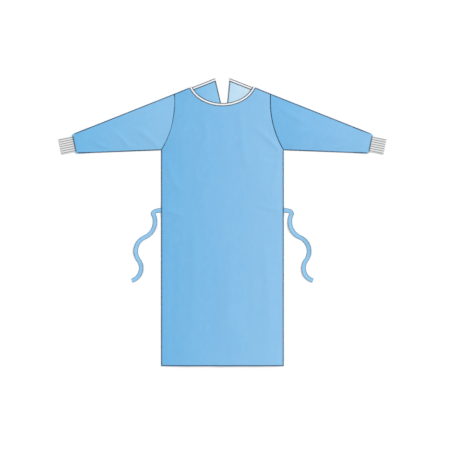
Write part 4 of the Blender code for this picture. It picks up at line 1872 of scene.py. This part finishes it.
@dataclass
class Tie:
    """A flat tape caught in the side seam, lying loose on the surface."""

    side: Side
    pattern: Pattern
    workshop: Workshop
    finishes: Finishes
    width: float = 0.0195
    tape: float = 0.0009
    insert: float = 0.013
    step: float = 0.0022
    edge_lift: float = 0.004
    stitch_inset: float = 0.0010
    lead: float = 0.004
    flutter: float = 0.0005

    def build(self) -> list[bpy.types.Object]:
        """Builds the tape and its two rows of stitches.

        Returns:
            The tape and its stitches.
        """
        across = np.array([-0.5, -0.485, -0.46, -0.36, -0.18, 0.0, 0.18, 0.36, 0.46, 0.485, 0.5])
        thin = np.array([0.45, 0.8, 1.0, 1.0, 0.9, 0.88, 0.9, 1.0, 1.0, 0.8, 0.45])
        top = self._rows(across)
        top[:, :, 2] += self.tape * (1 + thin) / 2
        under = self._rows(across)
        under[:, :, 2] += self.tape * (1 - thin) / 2
        points, faces = self.workshop.shell(top, under)
        name = f"tape_tie_{self.side.word}"
        made = self.workshop.piece(name, points, faces, self.finishes.tape, Slot.TAPE, sharp=60)
        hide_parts(f"tie_{self.side.word}")
        inset = 0.5 - self.stitch_inset / self.width
        rows = self._rows(np.array([-inset, inset]))
        rows[:, :, 2] += self.tape + 0.00005
        first = int((self.insert + 0.002) / self.step)
        sewing = Topstitch(self.workshop, self.finishes.thread)
        lines = [rows[first:, 0], rows[first:, 1]]
        stitches = sewing.sew(f"topstitch_tie_{self.side.word}", lines, Slot.TAPE)
        length = sum(arc.length for arc in TIE_ROUTE) + self.insert * 2 + self.lead
        return [made, stitches]

    def _route(self) -> np.ndarray:
        """Stations along the left tie: x, y, heading, share of the outer edge's lift, distance gone.

        Returns:
            The stations.
        """
        p = self.pattern
        x, y, heading = -p.half_body + self.insert, p.tie_height, math.pi
        stations = []
        straight = self.insert + self.lead
        for gone in np.arange(0, straight, self.step):
            stations.append((x - gone, y, heading, 0.0, gone))
        x, gone = x - straight, straight
        stations.append((x, y, heading, 0.0, gone))
        for arc in TIE_ROUTE:
            parts = max(2, round(arc.length / self.step))
            step, turn = arc.length / parts, math.radians(arc.turn) / parts
            for k in range(parts):
                x += step * math.cos(heading + turn / 2)
                y += step * math.sin(heading + turn / 2)
                heading += turn
                gone += step
                bend = math.copysign(math.sin(math.pi * (k + 1) / parts), arc.turn)
                stations.append((x, y, heading, bend if arc.length > 0.05 else 0.0, gone))
        return np.array(stations)

    def _rows(self, across: np.ndarray) -> np.ndarray:
        """The tape's lower face: for each station, its points across.

        Args:
            across: places across the tape, from -0.5 to 0.5.

        Returns:
            The points.
        """
        x, y, heading, bend, gone = self._route().T[:, :, None]
        base = self.pattern.layer * (1 - smooth((gone - self.insert - self.lead) / 0.024))
        outward = 0.5 + across * np.where(bend > 0, 1, -1)
        lift = self.edge_lift * abs(bend) * outward**2
        flutter = self.flutter * (1 + np.sin(gone * 120 + across * 2)) * smooth((gone - 0.03) / 0.03)
        kink = 0.0022 * bell(gone - 0.0555, 0.007) * (0.5 + across) ** 2
        plan_x = -self.side.value * (x + np.sin(heading) * across * self.width)
        plan_y = y - np.cos(heading) * across * self.width + 0 * x
        return np.stack([plan_x, plan_y, base + lift + flutter * 0.6 + kink], axis=2)


@dataclass
class Studio:
    """The pale floor, the soft lights and the camera that looks straight down."""

    span: float = 2.097
    lens: float = 100.0
    sensor: float = 36.0
    aim: tuple[float, float] = (0.0119, -0.0147)
    floor_tone: float = 0.81
    sky_share: float = 0.42
    key_from: tuple[float, float, float] = (0.72, 0.48, 0.78)
    key_share: float = 0.42
    fill_from: tuple[float, float, float] = (-0.80, 0.10, 0.90)
    softness: float = math.radians(22)
    floor_half: float = 40.0
    floor_drop: float = 0.0004

    def build(self) -> None:
        """Sets up the floor, world, lights and camera."""
        self._floor()
        self._world()
        self._light("key", self.key_from, self.key_share)
        self._light("fill", self.fill_from, 1 - self.sky_share - self.key_share)
        self._camera()
        bpy.context.scene.view_settings.view_transform = "Standard"

    def _floor(self) -> None:
        """A plain pale floor just under the cloth."""
        mesh = bpy.data.meshes.new("floor")
        turns = ((-1, -1), (1, -1), (1, 1), (-1, 1))
        corners = [(x * self.floor_half, y * self.floor_half, -self.floor_drop) for x, y in turns]
        mesh.from_pydata(corners, [], [(0, 1, 2, 3)])
        board = Board("floor_paper")
        tone = (self.floor_tone, self.floor_tone, self.floor_tone * 1.003, 1)
        shader = board.add("ShaderNodeBsdfPrincipled", {}, {"Base Color": tone, "Roughness": 0.95})
        board.add("ShaderNodeOutputMaterial", {}, {"Surface": shader})
        mesh.materials.append(board.material)
        floor = bpy.data.objects.new("floor", mesh)
        bpy.context.scene.collection.objects.link(floor)

    def _world(self) -> None:
        """An even pale sky."""
        world = bpy.data.worlds.new("studio")
        bpy.context.scene.world = world
        world.use_nodes = True
        sky = world.node_tree.nodes["Background"]
        sky.inputs["Color"].default_value = (1.0, 1.0, 1.0, 1.0)
        sky.inputs["Strength"].default_value = STUDIO_LEVEL * self.sky_share

    def _light(self, name: str, place: tuple[float, float, float], share: float) -> None:
        """A wide soft light, as far as its direction goes at the gown.

        Args:
            name: the light's name.
            place: where it stands, as a direction from the gown.
            share: how much of the light on a level surface it gives.
        """
        lamp = bpy.data.lights.new(name, "SUN")
        lamp.angle = self.softness
        lamp.energy = STUDIO_LEVEL * share * math.pi / Vector(place).normalized().z
        made = bpy.data.objects.new(name, lamp)
        made.rotation_euler = (-Vector(place)).to_track_quat("-Z", "Y").to_euler()
        bpy.context.scene.collection.objects.link(made)

    def _camera(self) -> None:
        """A long lens straight above the gown."""
        camera = bpy.data.cameras.new("camera")
        camera.lens, camera.sensor_width = self.lens, self.sensor
        camera.clip_end = 100.0
        made = bpy.data.objects.new("camera", camera)
        made.location = (*self.aim, self.span * self.lens / self.sensor)
        bpy.context.scene.collection.objects.link(made)
        bpy.context.scene.camera = made


def main() -> None:
    """Builds the gown in the order in which it is sewn, then the studio."""
    logging.basicConfig(level=logging.INFO, format="%(name)s: %(message)s")
    pattern = Pattern()
    laying = Laying(pattern)
    workshop = Workshop(pattern)
    finishes = Finishes.make(pattern)
    made = Body(pattern, laying, workshop, finishes).build()
    made += NeckBinding(pattern, laying, workshop, finishes).build()
    for side in Side:
        made += Sleeve(side, pattern, laying, workshop, finishes).build()
        made += Tie(side, pattern, workshop, finishes).build()
    Studio().build()
    log.info("%d pieces made", len(made))


if __name__ == "__main__":
    main()
